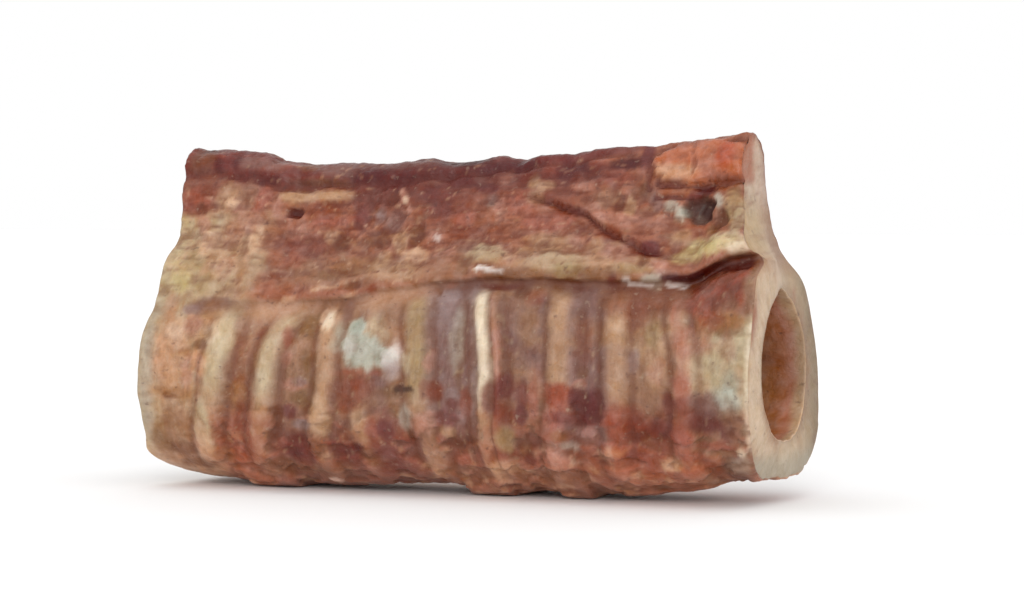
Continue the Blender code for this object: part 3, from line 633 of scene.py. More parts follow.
# the tube, from the left cut to the right one
TUBE_MARKS = (
    ("grey", -51.8, 20.0, 1.4, 12.0, 0, 0.55), ("orange", -46.6, 21.5, 3.0, 4.6, 0, 0.50),
    ("peach", -46.6, 27.0, 1.8, 1.4, 0, 0.70), ("rosy", -43.9, 27.6, 1.5, 1.6, 0, 0.65),
    ("mauve", -43.0, 30.0, 2.6, 0.8, 0, 0.55), ("bark", -42.3, 24.5, 1.5, 0.8, 0, 0.80),
    ("ochre", -44.6, 23.4, 1.8, 0.7, 0, 0.50), ("umber", -47.4, 16.0, 1.0, 0.6, 0, 0.85),
    ("ochre", -45.6, 16.6, 4.0, 0.9, 0, 0.65), ("rosy", -44.3, 20.0, 1.0, 2.6, 0, 0.45),
    ("peach", -45.4, 13.2, 0.9, 1.1, 0, 0.60), ("umber", -43.9, 10.9, 0.7, 2.0, 0, 0.55),
    ("ochre", -46.3, 10.8, 3.0, 2.4, 0, 0.75), ("bark", -49.6, 8.2, 1.8, 2.2, 0, 0.65),
    ("umber", -46.4, 7.0, 2.6, 1.3, 0, 0.75), ("umber", -44.5, 4.6, 4.0, 1.0, 0, 0.70),
    ("cream", -39.4, 26.6, 1.5, 3.2, -8, 0.30), ("ochre", -40.6, 30.2, 2.2, 1.8, -20, 0.45), ("sand", -38.6, 22.5, 1.4, 3.0, 0, 0.50),
    ("rosy", -43.0, 8.0, 1.0, 1.2, 0, 0.30), ("bark", -39.0, 6.6, 2.2, 1.4, 0, 0.45),
    ("brown", -34.5, 27.6, 1.9, 2.0, 0, 0.60), ("redbrown", -34.2, 22.5, 1.4, 2.6, 0, 0.35),
    ("ochre", -34.6, 16.6, 1.5, 2.6, 0, 0.60), ("rust", -34.0, 12.8, 1.2, 2.6, 0, 0.70),
    ("rust", -33.0, 8.0, 1.4, 1.8, 0, 0.75), ("brick", -35.6, 6.0, 2.0, 1.4, 0, 0.60),
    ("redbrown", -31.5, 4.6, 2.4, 1.2, 0, 0.60), ("bark", -25.2, 30.0, 1.5, 1.2, 0, 0.80),
    ("brick", -26.3, 25.8, 0.7, 1.8, 0, 0.55), ("rosy", -26.0, 22.6, 0.8, 1.2, 0, 0.50),
    ("rosy", -24.0, 18.2, 2.4, 1.1, 0, 0.60), ("lilac", -23.2, 18.8, 1.5, 0.8, 0, 0.60),
    ("bark", -22.6, 15.6, 2.6, 0.8, 0, 0.55), ("dusk", -25.0, 13.7, 1.4, 1.2, 0, 0.85),
    ("umber", -27.4, 14.0, 1.0, 1.0, 0, 0.75), ("lilac", -23.0, 11.8, 1.8, 0.8, 0, 0.75),
    ("maroon", -24.4, 7.6, 2.8, 2.4, 0, 0.85), ("oxblood", -25.2, 7.2, 1.4, 0.8, 0, 0.60),
    ("umber", -20.6, 8.4, 1.3, 1.6, 0, 0.70), ("redbrown", -24.0, 4.2, 4.0, 1.0, 0, 0.60),
    ("peach", -19.7, 29.4, 1.2, 2.3, -12, 0.75), ("cream", -19.2, 28.6, 0.8, 1.5, -8, 0.60), ("bark", -20.9, 17.0, 0.7, 2.8, 0, 0.45),
    ("mauve", -16.0, 30.5, 1.1, 1.6, 0, 0.50), ("bark", -15.3, 27.8, 0.9, 0.9, 0, 0.60),
    ("rose", -12.0, 20.7, 4.2, 0.6, 0, 0.60), ("redbrown", -13.4, 17.6, 3.6, 2.6, 0, 0.90),
    ("rust", -12.6, 18.9, 1.4, 1.0, 0, 0.70), ("rust", -14.6, 14.8, 1.6, 1.0, 0, 0.65),
    ("umber", -14.8, 11.4, 0.9, 1.7, 0, 0.75), ("tan", -12.6, 11.8, 1.7, 2.4, 0, 0.60),
    ("rose", -10.4, 11.6, 1.1, 1.6, 0, 0.75), ("dusk", -8.0, 11.4, 1.5, 1.5, 0, 0.85),
    ("maroon", -15.6, 7.6, 2.6, 2.2, 0, 0.85), ("oxblood", -13.5, 8.6, 1.0, 0.8, 0, 0.80),
    ("umber", -11.4, 6.8, 1.6, 1.7, 0, 0.70), ("dusk", -8.6, 7.0, 2.0, 2.2, 0, 0.65),
    ("white", -20.6, 2.9, 1.0, 0.5, 0, 0.60), ("brown", -9.2, 16.4, 0.8, 1.6, 0, 0.50),
    ("bark", -5.6, 17.6, 2.6, 1.0, 0, 0.70), ("bark", -5.6, 14.8, 1.4, 1.0, 0, 0.40),
    ("grey", -3.8, 13.6, 1.2, 1.9, 0, 0.65), ("umber", -3.0, 11.0, 0.9, 1.0, 0, 0.75),
    ("rosy", -0.3, 12.8, 1.5, 1.8, 0, 0.55), ("brown", 0.2, 7.4, 1.8, 2.0, 0, 0.45),
    ("lilac", 2.2, 29.2, 2.4, 2.4, 0, 0.55), ("rosy", 0.2, 22.8, 0.8, 1.6, 0, 0.50),
    ("bark", 5.2, 24.0, 0.9, 5.0, 4, 0.50), ("rust", 1.2, 17.8, 1.1, 1.5, 0, 0.90),
    ("redbrown", -0.4, 18.2, 0.8, 1.4, 0, 0.60), ("lilac", 4.0, 17.8, 1.0, 1.1, 0, 0.60),
    ("dusk", 4.2, 16.0, 1.0, 0.9, 0, 0.60), ("dusk", 3.4, 13.8, 1.8, 1.3, 0, 0.75),
    ("brick", 6.6, 16.4, 1.2, 2.2, 0, 0.55), ("tan", 3.4, 11.5, 1.2, 0.9, 0, 0.70),
    ("umber", 5.6, 9.6, 2.8, 1.4, 0, 0.60), ("brick", 4.4, 7.0, 2.2, 1.4, 0, 0.50),
    ("umber", 13.6, 22.6, 1.3, 1.6, 0, 0.55), ("maroon", 13.6, 19.0, 1.3, 2.0, 0, 0.85),
    ("rust", 13.4, 14.8, 1.5, 1.6, 0, 0.85), ("dusk", 16.2, 17.8, 1.4, 2.2, 0, 0.75),
    ("plum", 16.0, 14.6, 1.2, 1.5, 0, 0.75), ("rose", 18.3, 17.0, 0.9, 2.8, 0, 0.65),
    ("mauve", 16.6, 23.4, 1.8, 1.7, 0, 0.45), ("olive", 13.2, 10.6, 1.4, 2.0, 0, 0.65),
    ("umber", 16.0, 9.4, 1.4, 2.2, 0, 0.60), ("maroon", 16.6, 7.4, 0.9, 1.2, 0, 0.60),
    ("tan", 11.8, 5.8, 2.4, 1.2, 0, 0.55), ("brick", 22.8, 17.9, 2.5, 1.9, 0, 0.92),
    ("rose", 23.5, 16.3, 1.1, 0.9, 0, 0.70), ("maroon", 25.6, 17.2, 0.8, 1.8, 0, 0.70),
    ("rose", 22.0, 14.0, 1.6, 1.5, 0, 0.85), ("ochre", 22.6, 11.4, 1.4, 0.8, 0, 0.50),
    ("grey", 24.0, 9.8, 1.3, 0.7, 0, 0.60), ("rosy", 21.4, 8.4, 1.4, 2.2, 0, 0.55),
    ("rosy", 26.2, 19.7, 0.9, 0.6, 0, 0.70), ("plum", 27.8, 16.6, 2.4, 2.3, 0, 0.90),
    ("maroon", 28.7, 16.0, 1.2, 1.5, 0, 0.70), ("mauve", 27.6, 23.6, 2.0, 2.4, 0, 0.45),
    ("bark", 26.4, 21.4, 0.8, 0.8, 0, 0.50), ("lilac", 27.0, 12.2, 1.6, 1.2, 0, 0.75),
    ("lilac", 29.2, 11.8, 1.1, 1.4, 20, 0.60), ("brown", 27.6, 28.2, 1.8, 2.0, 0, 0.40),
    ("orange", 31.4, 9.3, 1.2, 1.2, 0, 0.55), ("brick", 32.6, 12.0, 1.7, 2.2, 0, 0.70),
    ("rust", 35.7, 12.6, 1.9, 1.8, 0, 0.88), ("lilac", 35.2, 23.4, 0.9, 1.5, 0, 0.60),
    ("olive", 37.8, 27.4, 1.4, 1.9, 0, 0.55), ("redbrown", 34.6, 30.6, 1.7, 2.4, 0, 0.65),
    ("rosy", 39.0, 21.8, 1.4, 2.0, 0, 0.45), ("brick", 32.4, 7.4, 1.7, 1.4, 0, 0.60),
    ("maroon", 41.0, 17.0, 1.1, 1.6, 0, 0.75), ("maroon", 41.2, 14.8, 0.7, 1.3, 0, 0.70),
    ("redbrown", 38.6, 12.0, 1.4, 1.8, 0, 0.50), ("rose", 43.0, 11.6, 1.6, 1.9, 0, 0.80),
    ("maroon", 46.8, 14.4, 2.6, 1.7, 0, 0.90), ("dusk", 44.2, 17.0, 2.6, 1.5, 0, 0.70), ("dusk", 50.2, 12.8, 1.6, 1.5, 0, 0.80),
    ("umber", 51.6, 14.7, 1.7, 0.6, 0, 0.85), ("rose", 47.6, 10.6, 2.4, 0.8, 0, 0.65),
    ("brick", 36.5, 7.4, 1.8, 1.5, 0, 0.50), ("tan", 40.4, 7.4, 1.7, 1.0, 0, 0.75),
    ("brick", 44.0, 7.8, 2.1, 1.6, 0, 0.70), ("rust", 46.3, 6.2, 1.0, 1.7, 0, 0.80),
    ("black", 49.2, 6.4, 1.7, 1.9, 0, 0.60), ("cream", 51.8, 9.4, 0.9, 0.9, 0, 0.80),
    ("umber", 52.2, 6.9, 1.6, 0.9, 0, 0.70), ("umber", 36.2, 3.2, 1.4, 0.6, 0, 0.60),
    ("brown", 50.8, 30.6, 2.6, 2.2, 12, 0.60), ("mauve", 47.4, 17.2, 2.6, 1.5, -18, 0.40),
    ("brown", 51.6, 15.0, 1.5, 2.2, 8, 0.45), ("brick", 43.6, 20.2, 1.4, 2.6, 6, 0.35),
    ("grey", 50.8, 7.4, 1.9, 1.2, 20, 0.40), ("rosy", 27.4, 11.6, 1.8, 1.5, -15, 0.55),
    ("brown", -28.4, 28.4, 1.6, 2.4, -14, 0.40), ("umber", -18.8, 5.0, 3.6, 1.5, 8, 0.50),
    ("brown", -46.4, 10.8, 2.6, 3.0, -12, 0.45), ("umber", -27.0, 4.4, 4.6, 1.2, 4, 0.40),
    ("umber", 4.0, 4.2, 3.8, 1.2, -6, 0.40), ("umber", 20.5, 4.4, 4.4, 1.3, 5, 0.40),
    ("maroon", -8.0, 5.2, 3.4, 1.2, 6, 0.40), ("rosy", 18.8, 19.6, 1.2, 2.6, 4, 0.35),
    ("bark", 50.4, 28.3, 2.6, 1.1, 0, 0.70), ("ochre", 46.6, 29.0, 1.8, 1.1, 0, 0.50),
    ("rosy", 50.6, 25.8, 1.6, 1.9, 0, 0.35), ("tan", 46.8, 20.6, 1.1, 1.8, 0, 0.50),
    ("sand", 49.0, 22.6, 2.4, 3.0, 0, 0.45), ("moss", 51.4, 20.6, 1.5, 1.8, 0, 0.50),
    ("mauve", 47.8, 17.4, 2.0, 1.5, 0, 0.75), ("redbrown", 42.2, 14.8, 3.2, 2.2, 0, 0.60), ("chalk", 50.8, 17.8, 2.4, 1.7, -30, 0.70),
    ("mauve", 48.0, 15.6, 2.0, 0.6, 0, 0.65), ("rose", 46.2, 32.4, 3.6, 1.6, 0, 0.20),
    ("brown", 14.5, 30.5, 2.6, 2.6, 0, 0.30), ("mauve", 12.0, 31.8, 1.2, 1.6, 0, 0.40),
    ("sand", -40.7, 11.8, 1.3, 3.4, 0, 0.75), ("grey", 4.4, 26.5, 1.2, 4.6, 0, 0.50),
    ("rose", 44.6, 26.6, 3.0, 2.2, 0, 0.50), ("redbrown", 26.4, 26.0, 1.6, 3.4, 0, 0.45),
    ("brick", 33.6, 14.6, 3.6, 1.7, 0, 0.65), ("maroon", 39.4, 13.2, 2.0, 1.5, 0, 0.60),
    ("ochre", 50.6, 29.6, 2.6, 1.3, 0, 0.75), ("brick", 47.4, 29.8, 2.2, 1.3, 0, 0.60),
    ("brown", 51.2, 13.6, 1.5, 2.8, 0, 0.60), ("rose", 43.4, 20.0, 1.6, 1.3, 0, 0.50),
    ("sand", -36.9, 25.8, 1.2, 3.0, 0, 0.55), ("tan", -41.4, 9.8, 1.3, 3.0, 0, 0.75),
    ("maroon", 11.4, 17.2, 1.5, 2.6, 0, 0.75), ("dusk", 24.0, 14.2, 2.2, 1.2, 0, 0.65),
    ("maroon", 27.8, 14.3, 2.0, 1.2, 0, 0.75), ("redbrown", -14.7, 10.2, 2.2, 1.4, 0, 0.50),
    ("umber", -28.0, 5.0, 2.8, 1.2, 0, 0.60), ("tan", -19.3, 13.2, 1.6, 3.0, 0, 0.90),
)
# the side the photo doesn't show: the same tissues arranged differently
FAR_MARKS = (
    ("brick", -20, 13, 5.0, 2.4, 6, 0.7), ("rust", 5, 15, 4.0, 2.2, -8, 0.7),
    ("brick", 33, 12, 5.5, 2.6, 4, 0.7), ("redbrown", -42, 11, 3.4, 2.2, 0, 0.7),
    ("maroon", -8, 11, 2.6, 2.4, 0, 0.8), ("plum", 22, 15.5, 2.4, 2.8, 0, 0.8),
    ("maroon", 44, 13, 2.4, 2.0, 0, 0.8), ("umber", -34, 24, 1.6, 4.0, 0, 0.5),
    ("rosy", 10, 27, 1.4, 3.0, 0, 0.4), ("mauve", -10, 51, 8.0, 1.8, 0, 0.6),
    ("plum", 30, 53, 9.0, 1.8, 2, 0.6), ("rust", 0, 43, 6.0, 1.8, 0, 0.5),
    ("tan", -44, 42, 4.0, 4.0, 0, 0.6), ("redbrown", 20, 41, 7.0, 2.0, 0, 0.6),
    ("rose", -25, 46, 4.0, 1.6, 8, 0.6), ("dusk", 14, 47, 3.0, 2.0, 0, 0.6),
    ("umber", -4, 47.5, 2.0, 1.4, 0, 0.7), ("peach", -36, 38, 2.4, 3.0, 0, 0.6),
    ("rosy", 36, 47, 3.0, 1.4, -10, 0.6), ("oxblood", 6, 53.4, 7.0, 0.9, 0, 0.8),
    ("oxblood", -22, 52.6, 6.0, 0.9, 0, 0.8), ("tan", -12, 24, 2.4, 3.0, 0, 0.4),
    ("lilac", 28, 25, 2.2, 4.0, 0, 0.5), ("maroon", -28, 8, 3.0, 1.8, 0, 0.7),
    ("dusk", 12, 9, 3.0, 2.0, 0, 0.7), ("orange", 26, 9, 1.6, 1.4, 0, 0.5),
)

# every mark as a mask; fat and scraps stand a little proud, blood has sunk in
mark_layers, mark_height = [], np.zeros(len(X))
for marks, where in ((STRIP_MARKS, near * strip), (LIP_MARKS, near), (TUBE_MARKS, near * tube), (FAR_MARKS, far)):
    for name, x, z, rx, rz, turn, amount in marks:
        m = patch(x, z, rx * 1.06, rz * 1.06, turn, 0.42, where, 0.75)
        mark_layers.append((name, m, amount))
        tall = np.clip((TISSUE[name] @ LUMA - 0.19) * 2.2, -0.42, 0.42)
        mark_height = mark_height + (0.75 * tall - mark_height) * np.clip(m * amount, 0, 1)

# ================================================================ relief, coarse
# rolled edge of dark muscle along the top, and the groove under it
roll_width = curve(X, ((-54, 4.4), (-40, 4.4), (-28, 3.7), (-14, 3.2), (0, 2.2), (14, 1.5), (30, 1.1), (48, 0.9)))
roll_width = roll_width * (1 + 0.30 * warp[:, 0] + 0.22 * ragged)
roll = bump(below_top, roll_width * 0.45, roll_width * 0.66) * near * strip
roll_groove = np.exp(-((below_top - roll_width) / 0.6) ** 2) * near * strip * (1 - smoothstep(20, 34, X))

# the fold that runs down to the right, its upper sheet lying over the lower one
fold_z = curve(X, ((12.5, 49.3), (15, 48.7), (19.0, 47.5), (22.5, 46.6), (25.0, 44.9), (27.5, 43.6),
                   (31, 42.2), (34.7, 40.6), (38, 40.0), (44, 39.2))) + 0.4 * warp[:, 1] + 0.25 * warp_fine[:, 1]
fold_here = smoothstep(11.0, 15, X) * (1 - smoothstep(34, 39, X)) * near * strip
fold_s = Z - fold_z
fold_step = fold_here * np.exp(-np.maximum(fold_s, 0) / 3.5) * smoothstep(-0.3, 0.25, fold_s)
fold_groove = fold_here * np.exp(-((fold_s + 0.35) / 0.42) ** 2)
# a dark band along the fold under the upper sheet, painted shade
fold_dark = fold_here * np.exp(-((fold_s + 0.2) / 0.75) ** 2) * (0.35 + 0.65 * np.exp(-((X - 21.0) / 4.5) ** 2))

lobe = patch(41.8, 54.1, 8.9, 3.4, 4, 0.14, rough=0.6) * smoothstep(33.0, 34.2, WX) * smoothstep(0.3, 1.1, below_top)
lobe_under = stroke(((34.6, 50.9), (38.5, 50.8), (41.5, 50.6), (45, 50.9), (48.5, 51.4)), 0.5)
lobe_side = stroke(((32.6, 54.4), (32.9, 52.2), (33.4, 50.2)), 0.55)
lobe_seam = stroke(((39.6, 56.6), (40.4, 54.0), (40.0, 51.6)), 0.35)
cavity = patch(41.9, 46.8, 2.3, 1.9, -14, 0.3, rough=0.8)
cavity_core = patch(42.7, 47.0, 0.9, 1.2, -10, 0.4)
cavity2 = patch(45.6, 45.0, 1.4, 1.3, -38, 0.45)
cavity_lead = stroke(((34.6, 48.6), (37.2, 48.9), (39.6, 48.6)), 0.4)
fleck = patch(39.4, 46.0, 1.2, 1.1, 10, 0.5)
hole = patch(-29.8, 46.1, 1.5, 0.95, 4, 0.35, rough=0.6)
bar = stroke(((-32.4, 48.6), (-27, 48.9), (-19.8, 48.8)), 0.85, 0.6) * smoothstep(-0.75, -0.2, fbm(35, pts, (3.0, 1.5, 1.5), 2))
pale_spot = patch(-41.9, 48.4, 2.3, 1.9, 0, 0.5)
crumple = patch(-13.5, 45.8, 7.4, 6.0, -10, 0.5)
streak = stroke(((-10.4, 49.7), (-9.2, 48.2), (-8.2, 46.5)), 0.5, 0.7, rough=1.0)
mid_bulge = patch(0.5, 46.0, 13.0, 5.5, -6, 0.55)
chunk = patch(27.0, 49.0, 6.5, 3.4, -6, 0.4)
grey_bits = patch(36.4, 48.0, 2.8, 1.6, -10, 0.5)
# painted light: the band just under the lip on the left, lightened below where the lip shades it
painted_light_under_lip = near * tube * np.exp(-((lip_z - 1.4 - Z) / 1.8) ** 2) * smoothstep(-36, -32, X) * (1 - smoothstep(-4, 2, X))
painted_light_under_lip = painted_light_under_lip * (1 - 0.95 * bump(X, -18.5, 8.0))
lip_band = near * strip * smoothstep(2, 12, X) * (1 - smoothstep(3.2, 5.4, Z - lip_z + warp[:, 0])) * (1 - smoothstep(33, 41, X))
yellow_band = patch(43.6, 41.0, 5.6, 1.9, 4, 0.4)
corner = near * strip * smoothstep(46.4, 48.4, WX) * smoothstep(38.0, 39.6, WZ)
# painted highlights: white glints along the lip's lower edge
glint = np.maximum.reduce([stroke(((6.8, 37.3), (11.2, 37.0)), 0.36, 0.5, rough=0.5),
                           stroke(((32.6, 35.1), (36.2, 34.9)), 0.36, 0.5, rough=0.5),
                           stroke(((38.8, 35.0), (41.6, 34.9)), 0.38, 0.5, rough=0.5)])
arcs = np.maximum(stroke(((-29.4, 30.6), (-27.0, 32.4), (-23.0, 33.7), (-16.4, 34.9)), 0.42, 0.6, rough=1.0),
                  stroke(((-20.0, 30.0), (-17.4, 32.2), (-13.0, 33.6)), 0.36, 0.6, rough=1.0))
torn = near * tube * smoothstep(41.6, 44.4, WX) * (1 - smoothstep(52.2, 53.4, WX)) \
    * smoothstep(28.8, 31.0, WZ + 0.45 * (48 - X) * (X < 48))
drips = near * tube * smoothstep(0.15, 0.5, fbm(39, pts, (1.3, 4, 6.0), 2)) * smoothstep(39, 42, X) \
    * (1 - smoothstep(51.5, 53, X)) * bump(Z, 30.4, 3.4)
# the crevice at the right end of the lip: a shallow groove, painted dark below as painted shade
crevice = stroke(((38.6, 36.0), (41.5, 35.6), (44, 36.5), (47, 37.9), (52.0, 38.5)), 0.75, 0.5, rough=0.3)
crevice_deep = stroke(((39.4, 36.2), (41.6, 36.0), (43.6, 36.6)), 0.75, 0.5, rough=0.3)
fascia = np.maximum.reduce([patch(-12.6, 24.2, 3.9, 2.9, -20, 0.3), patch(-13.6, 27.4, 1.9, 1.7, 0, 0.4),
                            patch(-8.0, 22.9, 2.4, 1.8, -10, 0.35)]) * tube * near
fascia2 = patch(-6.4, 22.8, 1.9, 2.8, -6, 0.4) * tube
hidden_ring = np.exp(-(np.abs(X - curve(Z, ((5, -12.0), (12, -12.6), (20, -12.0), (28, -11.6), (35, -11.0)))
                              + 0.5 * warp[:, 0]) / 1.5) ** 2.6) * near * tube * flank

# far side: the same tissues, arranged differently
far_fold_z = curve(X, ((-40, 44.5), (-20, 43.2), (0, 46.5), (20, 44.8), (40, 45.8))) + 0.7 * warp[:, 1] + 0.25 * warp_fine[:, 0]
far_fold = far * strip * smoothstep(-46, -30, X) * (1 - smoothstep(34, 44, X))
far_s = Z - far_fold_z
far_step = far_fold * np.exp(-np.maximum(far_s, 0) / 4.0) * smoothstep(-0.25, 0.3, far_s)
far_groove = far_fold * np.exp(-((far_s + 0.35) / 0.45) ** 2)
far_fat = np.maximum.reduce([patch(-33, 49.0, 10.0, 2.6, 6, 0.5, far, 1.5), patch(12.0, 50.6, 8.5, 2.2, -8, 0.5, far, 1.5),
                             patch(37.0, 42.2, 7.5, 1.9, 10, 0.5, far, 1.5)])
far_fat = far_fat * smoothstep(-0.3, 0.1, fbm(88, pts, (6.0, 2.0, 1.3), 3))
far_pits = np.maximum.reduce([patch(-12.0, 47.5, 1.6, 1.0, 20, 0.5, far), patch(27.0, 48.4, 1.3, 0.9, -20, 0.5, far)])
far_fascia = np.maximum(patch(18.0, 24.0, 5.2, 2.8, 30, 0.4, far, 1.5), patch(-30.0, 19.0, 3.6, 2.4, -15, 0.4, far, 1.5)) * tube
far_fascia = far_fascia * smoothstep(-0.4, 0.0, fbm(89, pts, 3.0, 3))

# torn remains of meat: thin uneven plates on the lower flanks and the belly
scrap_field = fbm(41, pts, (6.5, 5.0, 4.2), 3, 0.5)
scrap_zone = tube * (1 - smoothstep(11.0, 17.5, Z + 1.5 * warp[:, 0])) * smoothstep(-48, -34, X)
scraps = smoothstep(0.0, 0.14, scrap_field + 0.12 * scrap_zone - 0.02) * scrap_zone
scrap_fine = ridged(42, pts, (3.4, 3.0, 3.0), 3)
reach = strip * (0.35 + 0.65 * smoothstep(0.12, 0.5, up))
fibres = ridged(43, pts + np.stack([0 * X, 0.8 * warp[:, 0], 1.4 * warp[:, 1]], 1), (13.0, 1.9, 1.9), 3, 0.55)
fibres_fine = ridged(44, pts + np.stack([0 * X, 0.5 * warp[:, 0], 0.8 * warp[:, 1]], 1), (6.0, 0.8, 0.8), 2, 0.6)
# wrinkles of the skin between the rings lie a little askew
askew = np.stack([X + 0.22 * Z + 0.8 * warp[:, 0], Y, Z - 0.3 * X], 1)
wrinkles = ridged(45, askew, (2.2, 7.5, 7.5), 3, 0.5)
cross_folds = ridged(58, np.stack([X, Y, Z + 0.25 * X + 0.9 * warp[:, 1]], 1), (7.0, 7.0, 2.6), 2, 0.5)
creases = ridged(50, pts + 1.2 * np.stack([warp[:, 0], warp[:, 1], warp[:, 0]], 1), (6.0, 3.4, 3.4), 3, 0.5)
pores = fbm(46, pts, 1.2, 3)
lumps = fbm(47, pts, 8.0, 3)
small_lumps = fbm(48, pts, 3.4, 3)

gap, band_no = band_gap(rv, x0, Y, Z)
band_w = BAND_HALF_LENGTH * np.array(BAND_WIDTH)[band_no]
real_band = smoothstep(0.35, 0.6, rv) * (1 - smoothstep(8.4, 8.65, rv))
tint_gap = gap + 0.7 * (band_no == 6) * near
band_core = np.exp(-(np.abs(tint_gap) / (band_w * 1.0)) ** 3.0)
pair = np.exp(-(np.abs(gap + 0.3) / 1.25) ** 3) + 0.8 * np.exp(-((gap - 2.0) / 0.6) ** 2) * smoothstep(18, 21, Z) * (1 - smoothstep(27, 31, Z))
band_core = np.where((band_no == 5) & (Y < 0), np.maximum(pair, 0.45 * band_core), band_core)
band_flank = smoothstep(0.7, 1.7, vv) * (1 - smoothstep(6.0, 6.9, vv)) + smoothstep(19.6, 20.6, vv) * (1 - smoothstep(24.2, 25.3, vv))
band_reach = band_flank * smoothstep(1.8, 4.2, Z + 0.8 * warp[:, 1]) * real_band
bands = band_core * band_reach * np.clip(0.9 + 0.4 * fbm(49, pts, (2.0, 3.0, 3.0), 3), 0, 1)
panel = tube * (1 - band_core)

calm = 1 - 0.8 * np.exp(-((vv - 7.3) / 0.7) ** 2) * smoothstep(-38, -30, X)     # deep in the crease
calm = calm * (1 - np.exp(-((Z - REST_HEIGHT) / 0.5) ** 2))                     # on the resting spots

d1 = 0.24 * lumps + 0.18 * small_lumps + 0.75 * mark_height
d1 += strip * (0.5 * fbm(51, pts, (9.0, 4.0, 4.0), 3) + 0.15 * small_lumps)
d1 -= strip * 0.5 * np.clip(creases - 0.70, 0, 1) * (1 - lobe)
d1 += 0.55 * roll * (1 + 0.8 * fbm(91, pts, (3.5, 2.0, 1.4), 3)) - 0.4 * roll_groove
d1 += 0.9 * fold_step - 0.8 * fold_groove
d1 += 1.0 * lobe - 0.8 * lobe_under - 0.35 * lobe_side - 0.25 * lobe_seam
d1 += -1.8 * cavity - 0.8 * cavity_core - 1.0 * cavity2 - 0.5 * cavity_lead + 0.7 * fleck
d1 += -1.3 * hole + 0.3 * bar + 0.2 * pale_spot + 0.1 * streak
d1 += crumple * 0.6 * (ridged(52, pts, (3.4, 3.0, 2.6), 2) - 0.35)
d1 += 0.5 * mid_bulge + chunk * (0.3 + 0.8 * fbm(53, pts, 3.0, 2))
d1 += 0.4 * grey_bits * (ridged(54, pts, 1.8, 2) - 0.2)
d1 += 0.22 * lip_band + 0.25 * yellow_band + 0.35 * glint
d1 += 0.45 * torn * (0.3 + 0.8 * ridged(55, pts, (3.0, 1.6, 3.2), 2)) + 0.2 * drips - 0.7 * crevice
d1 += 1.0 * far_step - 0.7 * far_groove + 0.8 * far_fat - 1.1 * far_pits
d1 += 0.22 * fascia + 0.15 * fascia2 + 0.4 * far_fascia + 0.3 * hidden_ring
d1 += 0.40 * scraps
d1 *= calm


def displace(points, amount):
    """Move the skin along its normals; near the cuts only sideways."""
    n = grid_normals(points.reshape(SO, NO, 3)).reshape(-1, 3).copy()
    hold = smoothstep(0.0, 2.5, np.minimum(to_left, to_right))
    n[:, 0] *= hold
    return points + n * amount[:, None]


pts = displace(pts, d1)

# ================================================================== relief, fine
smooth_skin = np.clip(fascia + fascia2 + glint + 0.6 * torn, 0, 1)
d2 = 0.24 * reach * (fibres - 0.4) * (1 - 0.7 * lobe) + 0.08 * reach * (fibres_fine - 0.4)
d2 += (0.14 * panel * flank * (wrinkles - 0.4) + 0.10 * panel * flank * (cross_folds - 0.4)) * (1 - 0.5 * scraps)
d2 += 0.10 * bands * fbm(56, pts, (1.2, 2.5, 2.5), 2)
d2 += 0.03 * pores + 0.08 * scraps * (scrap_fine - 0.4)
d2 += 0.10 * smoothstep(8.0, 2.0, Z) * tube * fbm(57, pts, 2.4, 3)
d2 *= calm * (1 - 0.6 * smooth_skin)
pts = displace(pts, d2)
pts[:, 2] = np.maximum(pts[:, 2], REST_HEIGHT)

# hollows and crests of the finished relief, at two widths; below they carry painted shade and painted highlights
grid = pts.reshape(SO, NO, 3)
norm = grid_normals(grid)
fine_height = ((grid - blur_grid(grid, 3)) * norm).sum(-1).reshape(-1)
mid_height = ((grid - blur_grid(grid, 24)) * norm).sum(-1).reshape(-1)
hollow_fine = np.clip(-fine_height / 0.05, 0, 1)
crest_fine = np.clip(fine_height / 0.06, 0, 1)
hollow_mid = np.clip(-mid_height / 0.30, 0, 1)
crest_mid = np.clip(mid_height / 0.35, 0, 1)

# ======================================================================= colours
tone = fbm(61, pts, 5.5, 4)
tone2 = fbm(62, pts, 2.2, 3)
tone3 = fbm(60, pts, 1.1, 2)
blot_a = fbm(63, pts, 6.0, 4)
blot_b = fbm(64, pts, 5.0, 4)
blot_c = fbm(65, pts, 2.8, 3)
blot_d = fbm(66, pts, 3.4, 3)

# membranes between the rings: main colour, blotches, and colour low down
PANELS = (("tan", "orange", "brown"), ("brown", "redbrown", "brick"), ("brown", "bark", "dusk"),
          ("brown", "mauve", "dusk"), ("mauve", "lilac", "redbrown"), ("brown", "mauve", "redbrown"),
          ("mauve", "brown", "redbrown"), ("brown", "tan", "brick"), ("sand", "tan", "redbrown"))
# rings: colour above, colour below and how strongly it covers
BANDS = (("tan", "tan", 0.8), ("sand", "tan", 0.80), ("sand", "tan", 0.85), ("tan", "tan", 0.70),
         ("olive", "tan", 0.75), ("cream", "tan", 0.95), ("tan", "rosy", 0.80), ("tan", "rosy", 0.65),
         ("rosy", "rose", 0.65), ("cream", "tan", 0.8))
ring = np.clip(rv, 0, 8.999)
cell = np.floor(ring).astype(int)
cell = np.where(near > 0.5, cell, (cell * 5 + 3) % 9)
# neighbouring membranes run into each other under the ring between them
frac = ring - np.floor(ring)
onward = np.clip(np.floor(ring).astype(int) + np.where(frac > 0.5, 1, -1), 0, 8)
onward = np.where(near > 0.5, onward, (onward * 5 + 3) % 9)
share = 0.5 * (1 - smoothstep(0.0, 0.14, np.minimum(frac, 1 - frac) + 0.05 * tone2))[:, None]


def panel_tint(n):
    table = np.array([TISSUE[p[n]] for p in PANELS])
    return mix(table[cell], table[onward], share)


